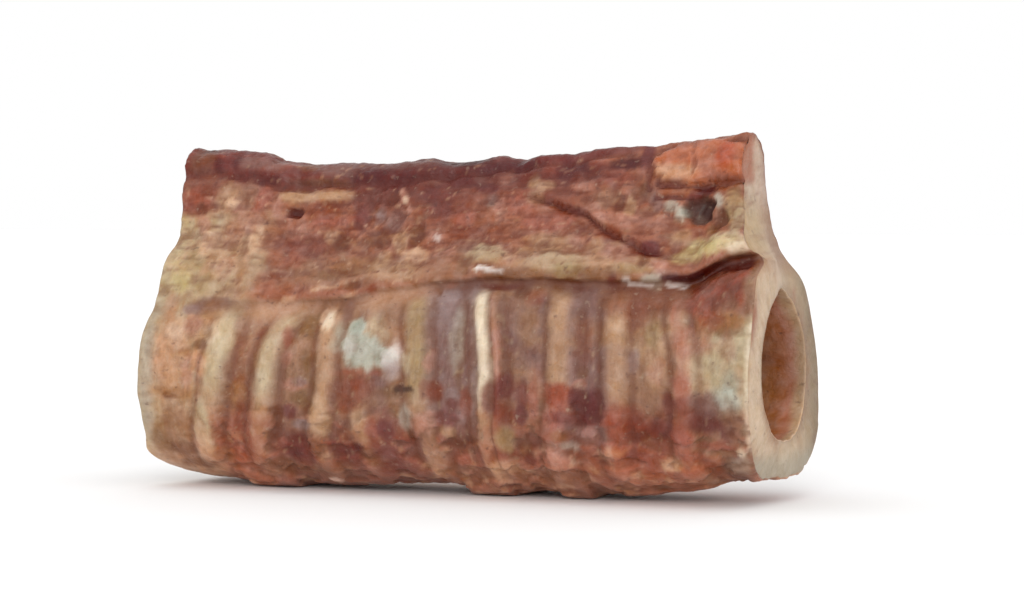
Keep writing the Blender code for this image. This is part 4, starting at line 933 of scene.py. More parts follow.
main, other, lower = panel_tint(0), panel_tint(1), panel_tint(2)
colour = main + (other - main) * smoothstep(-0.05, 0.4, blot_a)[:, None]
colour = colour + (lower - colour) * (smoothstep(16, 8, Z + 4 * tone) * 0.8)[:, None]
colour = colour * (1 + 0.12 * tone2 + 0.08 * tone3)[:, None]
colour = colour * (1 - 0.12 * (panel * (wrinkles - 0.35)))[:, None]
# painted shade in the grooves beside each ring
beside = np.exp(-((np.abs(gap) - band_w * 1.55) / 0.6) ** 2) * band_reach
colour = layer(colour, "umber", beside, 0.40)
band_up = np.array([TISSUE[b[0]] for b in BANDS])[band_no]
band_dn = np.array([TISSUE[b[1]] for b in BANDS])[band_no]
band_amount = np.array([b[2] for b in BANDS])[band_no]
band_tint = band_up + (band_dn - band_up) * smoothstep(19, 14, Z + 1.5 * tone)[:, None]
band_tint = band_tint * (1 + 0.12 * tone2)[:, None]
second = (band_no == 5) & (Y < 0) & (gap > 1.1)
band_tint = np.where(second[:, None], TISSUE["rosy"], band_tint)
band_keep = 1 - 0.35 * smoothstep(15, 10, Z + 2 * tone)
colour = layer(colour, band_tint, bands * band_amount * band_keep)
colour = layer(colour, "tan", hidden_ring * band_keep, 0.6)

# lower flanks and belly, with what is left of the meat
low = tube * smoothstep(15.0, 8.0, Z + 2.6 * tone) * smoothstep(-48, -36, X + 4 * tone)
colour = layer(colour, "brick", scraps, 0.35)
colour = layer(colour, "tan", low * smoothstep(0.12, 0.42, blot_c), 0.45)
colour = layer(colour, "maroon", low * smoothstep(0.2, 0.5, blot_d), 0.45)
colour = layer(colour, "rose", low * smoothstep(0.15, 0.5, fbm(69, pts, 3.4, 3)), 0.4)
under = tube * smoothstep(4.5, 0.8, Z + 1.2 * tone2)
colour = layer(colour, "maroon", under * smoothstep(0.0, 0.4, tone), 0.35)
colour = layer(colour, "tan", under * smoothstep(0.15, 0.5, fbm(71, pts, 3.0, 3)), 0.5)

# the strip: red-brown muscle with paler sinew and darker bundles
muscle = (0.55 * TISSUE["brick"] + 0.45 * TISSUE["brown"]) * (1 + 0.16 * tone + 0.10 * tone2)[:, None]
muscle = layer(muscle, "mauve", smoothstep(0.08, 0.45, fbm(68, pts, (7, 4, 3), 4)), 0.5)
muscle = layer(muscle, "rosy", smoothstep(0.08, 0.4, fbm(70, pts, (5, 3, 2.2), 4)), 0.6)
muscle = layer(muscle, "tan", smoothstep(0.2, 0.5, fbm(72, pts, (4, 2.2, 1.8), 4)), 0.55)
muscle = layer(muscle, "rust", smoothstep(0.15, 0.5, fbm(59, pts, (4, 2.2, 1.8), 3)), 0.5)
sinew = smoothstep(0.80, 0.93, ridged(96, pts + 1.0 * np.stack([0 * X, warp[:, 0], warp[:, 1]], 1), (9.0, 2.6, 2.6), 2, 0.6))
seam = smoothstep(0.80, 0.93, ridged(97, pts + 1.0 * np.stack([0 * X, warp[:, 1], warp[:, 0]], 1), (7.0, 3.0, 3.0), 2, 0.6))
muscle = muscle * (1 + 0.20 * (fibres - 0.45))[:, None]
muscle = layer(muscle, "wine", near * smoothstep(46.8, 49.6, Z + 1.4 * tone) * smoothstep(-24, -19, X) * (1 - smoothstep(20, 27, X)), 0.6)
colour = colour + (muscle - colour) * strip[:, None]
thread = smoothstep(0.78, 0.92, ridged(98, askew, (2.6, 8.0, 8.0), 2, 0.6))
left_end = near * smoothstep(-31, -38, X + 2 * tone) * smoothstep(27, 32, Z) * (1 - smoothstep(44.0, 47.5, Z + 1.5 * tone2))
colour = layer(colour, "tan", left_end, 0.9)
colour = layer(colour, "sand", left_end * smoothstep(-0.3, 0.3, fbm(75, pts, (3.0, 6.0, 6.0), 3)), 0.6)
colour = layer(colour, "yellow", left_end * smoothstep(5.5, 2.0, to_left + 1.5 * tone2) * smoothstep(30, 34, Z), 0.5)
colour = layer(colour, "rosy", left_end * smoothstep(0.1, 0.6, fbm(73, pts, (1.7, 6.0, 6.0), 2)), 0.35)
colour = layer(colour, "ochre", left_end * smoothstep(0.1, 0.6, fbm(74, pts, (1.5, 6.0, 6.0), 2)), 0.3)
streaky = near * smoothstep(-40.5, -43.0, X) * smoothstep(5, 9, Z) * (1 - smoothstep(31, 34, Z))
colour = layer(colour, "sand", streaky * smoothstep(0.0, 0.4, fbm(93, pts, (1.2, 9.0, 9.0), 3)), 0.55)
colour = layer(colour, "ochre", streaky * smoothstep(0.05, 0.45, fbm(94, pts, (1.0, 8.0, 8.0), 3)), 0.45)
colour = layer(colour, "sand", near * smoothstep(4.0, 1.0, to_left) * smoothstep(3, 8, Z) * (1 - smoothstep(40, 46, Z)), 0.55)
rings_under = near * smoothstep(33.0, 36.0, Z) * (1 - smoothstep(37.5, 40.5, Z + tone2)) * smoothstep(-32, -27, X) * (1 - smoothstep(1, 6, X))
colour = layer(colour, "brown", rings_under, 0.65)
colour = layer(colour, "tan", lip_band, 0.42)
colour = layer(colour, "olive", lip_band * smoothstep(-0.1, 0.4, blot_c), 0.35)
roll_mask = near * strip * (1 - smoothstep(0.8, 1.05, below_top / roll_width)) * (1 - smoothstep(24, 36, X))
roll_tint = TISSUE["maroon"] + (TISSUE["dusk"] - TISSUE["maroon"]) * smoothstep(-0.15, 0.4, fbm(77, pts, (4, 1.6, 1.6), 3))[:, None]
roll_tint = roll_tint * (1 - 0.30 * smoothstep(-26, -20, X) * (1 - smoothstep(0, 8, X)))[:, None]
roll_tint = roll_tint * (1 - smoothstep(-44, -36, X)[:, None] * (1 - smoothstep(2, 12, X))[:, None] * np.array([0.06, 0.20, 0.22]))
colour = layer(colour, roll_tint, roll_mask, 0.88)
colour = layer(colour, "brick", roll_mask * smoothstep(0.1, 0.45, fbm(92, pts, (2.6, 1.4, 1.0), 3)) * smoothstep(-30, -36, X), 0.7)
# mauve patches on the roll: painted highlights
colour = layer(colour, "mauve", roll_mask * smoothstep(0.2, 0.55, fbm(76, pts, (5, 1.6, 1.2), 3)), 0.30)
colour = layer(colour, "rose", roll_mask * patch(-33.8, 53.6, 2.6, 0.9, 4, 0.6), 0.55)
colour = layer(colour, "brown", roll_mask * patch(-25.6, 51.2, 4.6, 0.7, 0, 0.6), 0.60)
colour = layer(colour, "brick", roll_mask * smoothstep(0.25, 0.5, fbm(99, pts, (3.0, 1.2, 1.0), 3)), 0.35)
colour = layer(colour, "oxblood", strip * (1 - smoothstep(0.2, 0.9, below_top)) * (1 - smoothstep(31, 35, X)) * (0.6 + 0.6 * tone2), 0.5)
# painted shade in the groove under the roll
colour = layer(colour, "maroon", roll_groove * smoothstep(-0.4, 0.3, tone), 0.6)
colour = layer(colour, "salmon", lobe, 0.92)
# a clay band under the lip at the right: partly the tissue's colour, partly painted shade
under_lip = near * tube * smoothstep(27, 31, X) * smoothstep(29.6, 31.8, WZ)
colour = layer(colour, "clay", under_lip, 0.75)
colour = layer(colour, "maroon", torn, 0.65)
colour = layer(colour, "brick", torn * smoothstep(-0.2, 0.4, blot_c), 0.75)
colour = layer(colour, "tan", bar, 0.85)

for name, m, amount in mark_layers:
    colour = layer(colour, name, m, amount)

colour = layer(colour, "peach", sinew * strip * (1 - lobe), 0.38)
colour = layer(colour, "maroon", seam * strip * (1 - lobe) * (1 - sinew), 0.42)
colour = layer(colour, "sand", thread * flank * tube * (1 - bands), 0.26)
colour = layer(colour, "peach", lobe * patch(36.8, 52.2, 4.4, 1.5, 3, 0.5), 0.58)
colour = layer(colour, "ochre", lobe * patch(36.2, 52.8, 3.4, 1.4, 3, 0.5), 0.15)
colour = layer(colour, "rosy", lobe * patch(43.0, 53.6, 2.6, 2.2, 0, 0.6), 0.35)
colour = layer(colour, "ember", lobe * patch(45.6, 55.6, 1.6, 2.2, 0, 0.6), 0.7)
colour = layer(colour, "redbrown", patch(45.2, 51.8, 2.8, 0.8, 2, 0.5) * strip, 0.8)
colour = layer(colour, "redbrown", patch(37.0, 56.3, 4.0, 0.5, 4, 0.6) * strip, 0.6)
colour = layer(colour, "plum", patch(32.0, 54.8, 1.1, 1.8, 0, 0.5) * strip, 0.85)
colour = layer(colour, "rosy", streak, 0.85)
colour = layer(colour, "cream", streak * smoothstep(0.0, 0.5, blot_c), 0.6)
# painted shade along the fold, beside and under the lobe, and in the pits and the hole; the chalk fleck is the tissue's
# colour
colour = layer(colour, "maroon", fold_dark, 0.8)
colour = layer(colour, "maroon", lobe_side, 0.35)
colour = layer(colour, "maroon", lobe_under * smoothstep(40, 37, X), 0.6)
colour = layer(colour, "slate", cavity, 0.92)
colour = layer(colour, tint(52, 52, 50), cavity_core, 0.85)
colour = layer(colour, "grey", cavity * patch(42.6, 45.4, 1.4, 0.7, -10, 0.5), 0.35)
colour = layer(colour, "bark", cavity2, 0.7)
colour = layer(colour, "plum", cavity_lead, 0.5)
colour = layer(colour, "chalk", fleck, 0.75)
colour = layer(colour, "maroon", hole, 0.9)
colour = layer(colour, "black", hole * patch(-29.8, 46.1, 0.9, 0.6), 0.6)

# under the lip: painted shade in the crease and the crevice, torn meat and drips, and white painted highlights
crease = near * np.exp(-((vv - 7.35) / 0.45) ** 2) * smoothstep(-12, 4, X)
colour = layer(colour, "umber", crease, 0.45)
colour = layer(colour, "maroon", torn * smoothstep(0.05, 0.4, fbm(78, pts, (3, 2, 2), 3)), 0.4)
colour = layer(colour, "brick", drips, 0.4)
colour = layer(colour, "oxblood", crevice, 0.88)
colour = layer(colour, "black", crevice_deep, 0.6)
colour = layer(colour, "oxblood", crevice_deep, 0.5)
colour = layer(colour, "white", glint, 0.92)

# marks on the tube with a shape of their own
dark_spots = np.maximum(stroke(((-5.6, 18.0), (-3.2, 18.3)), 0.6), patch(-3.4, 18.2, 0.9, 0.6)) * tube
colour = layer(colour, "black", dark_spots, 0.75)
fascia_tone = fbm(79, pts, 2.6, 3)
fascia_tint = TISSUE["chalk"] + (TISSUE["moss"] - TISSUE["chalk"]) * smoothstep(-0.1, 0.35, fascia_tone)[:, None]
colour = layer(colour, fascia_tint, fascia, 0.82)
colour = layer(colour, "white", patch(-14.6, 24.4, 1.3, 1.6, 0, 0.5) * fascia, 0.35)
colour = layer(colour, "sand", patch(-10.6, 26.8, 2.8, 2.6, -25, 0.6) * tube * (1 - fascia), 0.55)
colour = layer(colour, "moss", patch(-16.8, 26.4, 1.4, 2.0, -10, 0.6) * tube * (1 - fascia), 0.45)
colour = layer(colour, "peach", arcs * smoothstep(-0.2, 0.25, tone2), 0.5)
colour = layer(colour, "moss", patch(-13.4, 27.6, 1.2, 1.4, 0, 0.5) * tube, 0.6)
colour = layer(colour, "white", fascia2, 0.6)
colour = layer(colour, "lilac", fascia2 * smoothstep(23.2, 21.4, Z + tone2), 0.6)
colour = layer(colour, "sand", patch(-4.0, 22.4, 1.1, 1.6, 0, 0.5) * tube * near, 0.6)

# far side
colour = layer(colour, "sand", far_fascia, 0.8)
colour = layer(colour, "tan", far_fat, 0.8)
colour = layer(colour, "yellow", far_fat * smoothstep(0.0, 0.4, tone2), 0.4)
colour = layer(colour, "maroon", np.maximum(far_groove, far_pits), 0.8)

# skin at the two cuts
rim_right = tube * smoothstep(1.3, 0.3, to_right) * (1 - 0.9 * smoothstep(28.5, 31.0, Z))
rim_left = tube * smoothstep(1.4, 0.4, to_left)
colour = layer(colour, "cream", rim_right * near * smoothstep(8, 12, Z), 0.85)
colour = layer(colour, "sand", rim_right * far, 0.5)
colour = layer(colour, "sand", rim_left, 0.5)
# painted shade darkens the hollows and painted highlights lighten the crests
colour = layer(colour, "umber", hollow_fine * (1 - 0.5 * strip), 0.25)
colour = layer(colour, "maroon", hollow_fine * strip, 0.20)
colour = layer(colour, "maroon", hollow_mid * (1 - 0.5 * bands), 0.20)
colour = colour * (1 + 0.12 * crest_fine + 0.10 * crest_mid)[:, None]
# blood has dried darkest just below the top edge; the lip is browner at its rim
colour = layer(colour, tint(94, 42, 38), near * strip * bump(Z + 0.6 * tone2, 52.2, 2.6) * smoothstep(-24, -18, X) * (1 - smoothstep(26, 32, X)) * (1 - lobe), 0.55)
colour = layer(colour, "wine", near * strip * bump(Z + 0.6 * tone2, 51.4, 3.4) * (1 - smoothstep(-28, -22, X)), 0.32)
colour = layer(colour, "umber", near * strip * bump(Z - lip_z + 0.4 * warp[:, 0], 0.9, 1.2) * smoothstep(6, 10, X) * (1 - smoothstep(32, 37, X)), 0.45)
# painted light: the underside gets less light, so the low tube is painted browner and lighter, and the band under the
# lip peach and lighter
painted_light_low = smoothstep(12.0, 2.0, Z) * tube
earthy = (colour @ LUMA)[:, None] * (TISSUE["brown"] / (TISSUE["brown"] @ LUMA))[None]
colour = colour + (earthy - colour) * (0.45 * painted_light_low)[:, None]
colour = layer(colour, "peach", painted_light_under_lip, 0.35)
colour = colour * (1 + 0.75 * painted_light_low + 0.35 * painted_light_under_lip)[:, None]
# blood has soaked the lower flank near the cut; the first panels are cleaner
soaked = near * tube * smoothstep(14, 24, X) * bump(Z, 13.5, 6.0)
clean = near * tube * smoothstep(-42, -38, X) * (1 - smoothstep(-6, 2, X)) * smoothstep(20, 25, Z) * (1 - smoothstep(27.0, 30.0, Z))
colour = colour * (1 - np.array([0.16, 0.26, 0.26]) * soaked[:, None] * (1 - 0.4 * bands[:, None]))
colour = colour * (1 + 0.22 * clean * (1 - 0.7 * bands) * (1 - fascia))[:, None]
# drying deepens the dark tissue and bleaches the pale
middle = np.array([0.285, 0.155, 0.108])
colour = middle * (np.maximum(colour, 0.003) / middle) ** np.array([1.06, 1.17, 1.26])
colour = np.clip(colour, 0.003, 0.9)

gloss = 0.42 + 0.25 * tone
gloss = mix(gloss, 0.85, np.clip(0.35 * roll_mask + 0.9 * lobe + 0.5 * lip_band + glint, 0, 1))
gloss = mix(gloss, 0.8, np.clip(0.5 * scraps + 0.7 * torn, 0, 1))
gloss = mix(gloss, 0.25, np.clip(fascia + cavity, 0, 1))
gloss = np.clip(gloss + 0.25 * crest_mid - 0.25 * hollow_fine, 0, 1)
fibre_w = np.clip(reach * (1 - 0.7 * lobe) + 0.4 * torn, 0, 1) * (1 - 0.5 * smooth_skin)
wrinkle_w = np.clip(flank * (1 - 0.5 * scraps), 0, 1) * (1 - 0.7 * smooth_skin)

# ================================================================ bore and cuts
bp = bore.reshape(-1, 3)
b_tone = fbm(61, bp, 5.5, 4)
b_fold = fbm(81, bp, (9.0, 2.2, 2.2), 3)
b_push = 0.28 * fbm(82, bp, (7.0, 2.0, 2.0), 3) + 0.2 * np.cos(2 * np.pi * bore_rv.reshape(-1)) + 0.12 * ridged(83, bp, (6, 1.2, 1.2), 2)
bn = grid_normals(bore).reshape(-1, 3).copy()
b_left = bp[:, 0] - ORIGIN_SHIFT - station_x(0 * bp[:, 0], bp[:, 1], bp[:, 2])
b_right = station_x(0 * bp[:, 0] + 9, bp[:, 1], bp[:, 2]) - bp[:, 0] + ORIGIN_SHIFT
b_end = np.minimum(b_left, b_right)
bn[:, 0] *= smoothstep(0, 2.5, b_end)
bp = bp - bn * b_push[:, None]
depth = np.maximum(b_end, 0)
# The bore lining's colours are painted lighter to stand in for the light its walls keep out, most of all low and high
# in the bore; they pale towards the mouths and darken deeper in, as painted light and shade.
lining = np.tile(tint(176, 124, 88), (len(bp), 1)) * (1 + 0.16 * b_tone)[:, None]
lining = layer(lining, "redbrown", smoothstep(0.0, 0.4, b_fold), 0.45)
lining = layer(lining, tint(166, 104, 74), smoothstep(8.0, 4.5, depth + 1.0 * b_tone), 0.70)
lining = layer(lining, "rosy", smoothstep(4.2, 2.6, depth + 1.2 * b_tone), 0.7)
lining = layer(lining, "sand", smoothstep(2.6, 1.0, depth + 1.0 * b_tone), 0.8)
lining = layer(lining, "bark", smoothstep(20, 12, bp[:, 2]) * smoothstep(3.0, 6.0, depth), 0.35)
lining = lining * (1 - 0.25 * smoothstep(12, 34, depth))[:, None]
lining = lining * (1 + 0.55 * smoothstep(19, 13, bp[:, 2]) + 0.30 * smoothstep(25, 31, bp[:, 2]))[:, None]

# rounding of the skin and the bore where they meet the cuts
outer = pts.reshape(SO, NO, 3)
flat_rim = {}
edge_mm = np.minimum(outer[..., 0] - ORIGIN_SHIFT - station_x(0 * outer[..., 0], outer[..., 1], outer[..., 2]),
                     station_x(0 * outer[..., 0] + 9, outer[..., 1], outer[..., 2]) - outer[..., 0] + ORIGIN_SHIFT)


def plane_normals(row):
    t = np.roll(row, -1, 0) - np.roll(row, 1, 0)
    n = np.stack([-t[:, 2], t[:, 1]], 1)
    return n / np.maximum(np.linalg.norm(n, axis=1, keepdims=True), 1e-9)


centre = np.array([0.0, 24.0])
for i in list(range(8)) + list(range(SO - 8, SO)):
    row = outer[i].copy()
    if i in (0, SO - 1):
        flat_rim[i] = row.copy()
    n = plane_normals(row)
    area = np.sum(row[:, 1] * np.roll(row[:, 2], -1) - np.roll(row[:, 1], -1) * row[:, 2])
    n = n * (1.0 if area > 0 else -1.0)             # inwards
    outer[i, :, 1:] += n * round_drop(np.maximum(edge_mm[i], 0.0), EDGE_ROUND)[:, None]
outer[..., 2] = np.maximum(outer[..., 2], REST_HEIGHT)
bore = bp.reshape(SB, NB, 3)
flat_hole = {}
b_edge = b_end.reshape(SB, NB)
for i in list(range(7)) + list(range(SB - 7, SB)):
    row = bore[i].copy()
    if i in (0, SB - 1):
        flat_hole[i] = row.copy()
    n = plane_normals(row)
    area = np.sum(row[:, 1] * np.roll(row[:, 2], -1) - np.roll(row[:, 1], -1) * row[:, 2])
    n = n * (-1.0 if area > 0 else 1.0)             # outwards
    bore[i, :, 1:] += n * round_drop(np.maximum(b_edge[i], 0.0), BORE_ROUND)[:, None]

chunks, quads = [outer.reshape(-1, 3), bore.reshape(-1, 3)], []
total = SO * NO + SB * NB


def add_skin(start, rows, cols, flip):
    i, j = np.meshgrid(np.arange(rows - 1), np.arange(cols), indexing="ij")
    k = (j + 1) % cols
    q = np.stack([start + i * cols + j, start + (i + 1) * cols + j,
                  start + (i + 1) * cols + k, start + i * cols + k], -1).reshape(-1, 4)
    quads.append(q[:, ::-1] if flip else q)


add_skin(0, SO, NO, False)
add_skin(SO * NO, SB, NB, True)
cut_points, cut_end = [], []
fj = N_TUBE_NEAR + N_STRIP + N_TOP + 1 + N_STRIP
for end, orow, brow, flip in ((9.0, SO - 1, SB - 1, False), (0.0, 0, 0, True)):
    rim = orow * NO + np.arange(NO)
    hole_ids = SO * NO + brow * NB + np.arange(NB)
    outline, inline = flat_rim[orow], flat_hole[brow]
    rungs = []
    for i in range(N_STRIP + 1):
        ia, ib = N_TUBE_NEAR + i, fj - i
        if i == N_STRIP:
            between = rim[N_TUBE_NEAR + N_STRIP + 1: N_TUBE_NEAR + N_STRIP + 1 + N_TOP]
        else:
            pa, pb = outline[ia], outline[ib]
            length = np.linalg.norm(pb - pa)
            step = min(EDGE_ROUND, length / 4.5)
            lead = np.array([0.5, 0.78, 1.1]) * step / length
            t = np.concatenate([lead, np.linspace(lead[-1], 1 - lead[-1], N_TOP - 4)[1:-1], 1 - lead[::-1]])
            p = pa + (pb - pa) * t[:, None]
            cut_points.append(p)
            cut_end.append(np.full(len(p), end))
            between = total + np.arange(len(p))
            total += len(p)
        rungs.append(np.concatenate([[rim[ia]], between, [rim[ib]]]))
        if i == 0:
            first_rung = p
    for lo, hi in zip(rungs[:-1], rungs[1:]):
        q = np.stack([lo[:-1], lo[1:], hi[1:], hi[:-1]], -1)
        quads.append(q[:, ::-1] if flip else q)
    loop = np.concatenate([rim[:N_TUBE_NEAR + 1], rungs[0][1:-1], rim[fj:]])
    loop_pts = np.concatenate([outline[:N_TUBE_NEAR + 1], first_rung, outline[fj:]])
    span = inline - loop_pts
    length = np.linalg.norm(span[:, 1:], axis=1)
    previous = loop
    for k in range(1, RIM_ROWS + 1):
        if k == RIM_ROWS:
            following = hole_ids
        else:
            lead_out = np.array([0.5, 0.78, 1.1]) * EDGE_ROUND
            lead_in = np.array([1.1, 0.55]) * BORE_ROUND
            inner_rows = RIM_ROWS - 1 - 5
            if k <= 3:
                t = lead_out[k - 1] / length
            elif k >= RIM_ROWS - 2:
                t = 1 - lead_in[k - (RIM_ROWS - 2)] / length
            else:
                f = (k - 3) / (inner_rows + 1)
                t = mix(lead_out[-1] / length, 1 - lead_in[0] / length, f)
            p = loop_pts + span * t[:, None]
            cut_points.append(p)
            cut_end.append(np.full(len(p), end))
            following = total + np.arange(len(p))
            total += len(p)
        q = np.stack([previous, np.roll(previous, -1), np.roll(following, -1), following], -1)
        quads.append(q if flip else q[:, ::-1])
        previous = following
cp = np.concatenate(cut_points)
ce = np.concatenate(cut_end)
d_out = np.where(ce > 4, outline_distance(cp[:, 1:], flat_rim[SO - 1][:, 1:]), outline_distance(cp[:, 1:], flat_rim[0][:, 1:]))
d_in = np.where(ce > 4, outline_distance(cp[:, 1:], flat_hole[SB - 1][:, 1:]), outline_distance(cp[:, 1:], flat_hole[0][:, 1:]))
drop = np.maximum(round_drop(d_out, EDGE_ROUND), round_drop(d_in, BORE_ROUND))
rough_cut = 0.30 * fbm(84, cp, 2.8, 3) + 0.22 * (ridged(85, cp, (2.0, 1.3, 1.3), 2) - 0.4)
rough_cut = rough_cut * smoothstep(0.3, 1.2, np.minimum(d_out, d_in)) - 0.15
cp[:, 0] = station_x(ce, cp[:, 1], cp[:, 2]) + ORIGIN_SHIFT + np.where(ce > 4, 1, -1) * (rough_cut - drop)
cp[:, 2] = np.maximum(cp[:, 2], REST_HEIGHT)

# colour of the cuts: pale gristle, browner outside and on the far wall
c_tone = fbm(61, cp, 5.5, 4)
c_tone2 = fbm(62, cp, 2.2, 3)
faces_col = np.tile(TISSUE["cream"], (len(cp), 1)) * (1 + 0.08 * c_tone + 0.10 * c_tone2)[:, None]
faces_col = layer(faces_col, "tan", smoothstep(0.0, 0.4, fbm(86, cp, 2.4, 3)), 0.5)
faces_col = layer(faces_col, "sand", smoothstep(-2.0, 10.0, cp[:, 1]), 0.8)
faces_col = layer(faces_col, "olive", smoothstep(8.0, 16.0, cp[:, 1]), 0.6)
faces_col = layer(faces_col, "brown", smoothstep(9.0, 15.0, cp[:, 1]) * smoothstep(0.0, 0.4, c_tone2), 0.5)
# painted shade: the cut faces darker towards the far side
faces_col = faces_col * (1 - 0.22 * smoothstep(8.0, 15.0, cp[:, 1]))[:, None]
faces_col = layer(faces_col, "grey", smoothstep(10.0, 5.0, cp[:, 2]), 0.5)
# painted shade round the mouth of the bore
faces_col = layer(faces_col, "bark", smoothstep(0.9, 0.1, d_in), 0.45)
faces_col = layer(faces_col, "tan", smoothstep(35.0, 38.0, cp[:, 2]), 0.5)
faces_col = layer(faces_col, "brown", smoothstep(36.0, 40.0, cp[:, 2]) * smoothstep(1.0, 5.0, cp[:, 1]), 0.6)
faces_col = layer(faces_col, "yellow", smoothstep(38.0, 42.0, cp[:, 2]) * smoothstep(2.0, -2.0, cp[:, 1]), 0.5)
faces_col = layer(faces_col, "white", smoothstep(45.0, 50.0, cp[:, 2] + c_tone) * (ce > 4), 0.55)
faces_col = layer(faces_col, "redbrown", smoothstep(49.0, 53.0, cp[:, 2] + c_tone) * np.where(ce > 4, smoothstep(1.6, 0.4, d_out), 1.0), 0.6)
faces_col = layer(faces_col, "rust", smoothstep(0.1, 0.45, fbm(87, cp, 1.8, 3)) * smoothstep(36.0, 42.0, cp[:, 2]), 0.45)
far_wall = smoothstep(4.0, 8.0, cp[:, 1]) * smoothstep(40.0, 34.0, cp[:, 2])
faces_col = layer(faces_col, "brown", far_wall * smoothstep(3.4, 0.8, d_in + 1.2 * c_tone2), 0.45)
faces_col = layer(faces_col, "salmon", far_wall * smoothstep(0.1, 0.45, fbm(100, cp, (2.2, 2.0, 4.0), 3)) * smoothstep(4.2, 1.6, d_in), 0.45)
# painted shade on the far wall near its outer edge
faces_col = faces_col * (1 - 0.14 * far_wall * smoothstep(4.0, 0.5, d_out + 0.8 * c_tone))[:, None]
# the gristle is palest in the middle of the wall; its outer skin has dried brown
faces_col = layer(faces_col, "cream", bump(d_in, 2.4, 1.6) * smoothstep(37.0, 33.0, cp[:, 2]) * smoothstep(10.0, 4.0, cp[:, 1]), 0.35)
faces_col = layer(faces_col, "ochre", smoothstep(1.1, 0.2, d_out) * np.where(ce > 4, 0.5, 1.0), 0.45)
faces_col = layer(faces_col, "brick", (ce > 4) * smoothstep(2.6, 0.8, d_out + 0.8 * c_tone2) * bump(cp[:, 2], 30.0, 6.0) * smoothstep(0.0, -3.0, cp[:, 1]), 0.75)
faces_col = layer(faces_col, "redbrown", (ce < 4) * smoothstep(38.0, 43.0, cp[:, 2]) * smoothstep(0.8, 2.0, d_out) * smoothstep(-0.3, 0.2, fbm(95, cp, (3, 2.2, 1.6), 3)), 0.6)
faces_col = layer(faces_col, "salmon", (ce > 4) * smoothstep(0.4, -1.2, cp[:, 1]) * smoothstep(50.0, 52.0, cp[:, 2]), 0.8)
faces_col = layer(faces_col, "ochre", (ce > 4) * smoothstep(2.6, 0.5, d_in) * smoothstep(0.0, -5.0, cp[:, 1]) * smoothstep(20.0, 15.0, cp[:, 2]), 0.65)
faces_col = layer(faces_col, "chalk", (ce > 4) * smoothstep(10.0, 7.0, cp[:, 2] + c_tone), 0.5)
faces_col = np.clip(faces_col * (1 + 0.35 * np.clip(rough_cut + 0.15, -0.5, 0.5))[:, None], 0.003, 0.9)

all_pts = np.concatenate(chunks + [cp]) + np.array(SETTLE)
quads = np.concatenate(quads)
nc, nb = len(cp), len(bp)
all_colour = np.concatenate([colour, lining, faces_col])
all_gloss = np.concatenate([gloss, np.full(nb, 0.7), np.full(nc, 0.35)])
all_fibre = np.concatenate([fibre_w, np.full(nb, 0.35), np.full(nc, 0.0)])
all_wrinkle = np.concatenate([wrinkle_w, np.full(nb, 0.2), np.full(nc, 0.0)])


# ===================================================================== meshes
def make_mesh(name, points, faces, attributes):
    mesh = bpy.data.meshes.new(name)
    sides = faces.shape[1]
    mesh.vertices.add(len(points))
    mesh.vertices.foreach_set("co", (points * MM).astype(np.float32).ravel())
    mesh.loops.add(len(faces) * sides)
    mesh.loops.foreach_set("vertex_index", faces.astype(np.int32).ravel())
    mesh.polygons.add(len(faces))
    mesh.polygons.foreach_set("loop_start", np.arange(len(faces), dtype=np.int32) * sides)
    mesh.update(calc_edges=True)
    for key, values in attributes.items():
        if values.ndim == 2:
            a = mesh.attributes.new(key, "FLOAT_COLOR", "POINT")
            rgba = np.concatenate([values, np.ones((len(values), 1))], 1)
            a.data.foreach_set("color", rgba.astype(np.float32).ravel())
        else:
            a = mesh.attributes.new(key, "FLOAT", "POINT")
            a.data.foreach_set("value", values.astype(np.float32))
    mesh.validate()
    mesh.shade_smooth()
    obj = bpy.data.objects.new(name, mesh)
    bpy.context.scene.collection.objects.link(obj)
    return obj


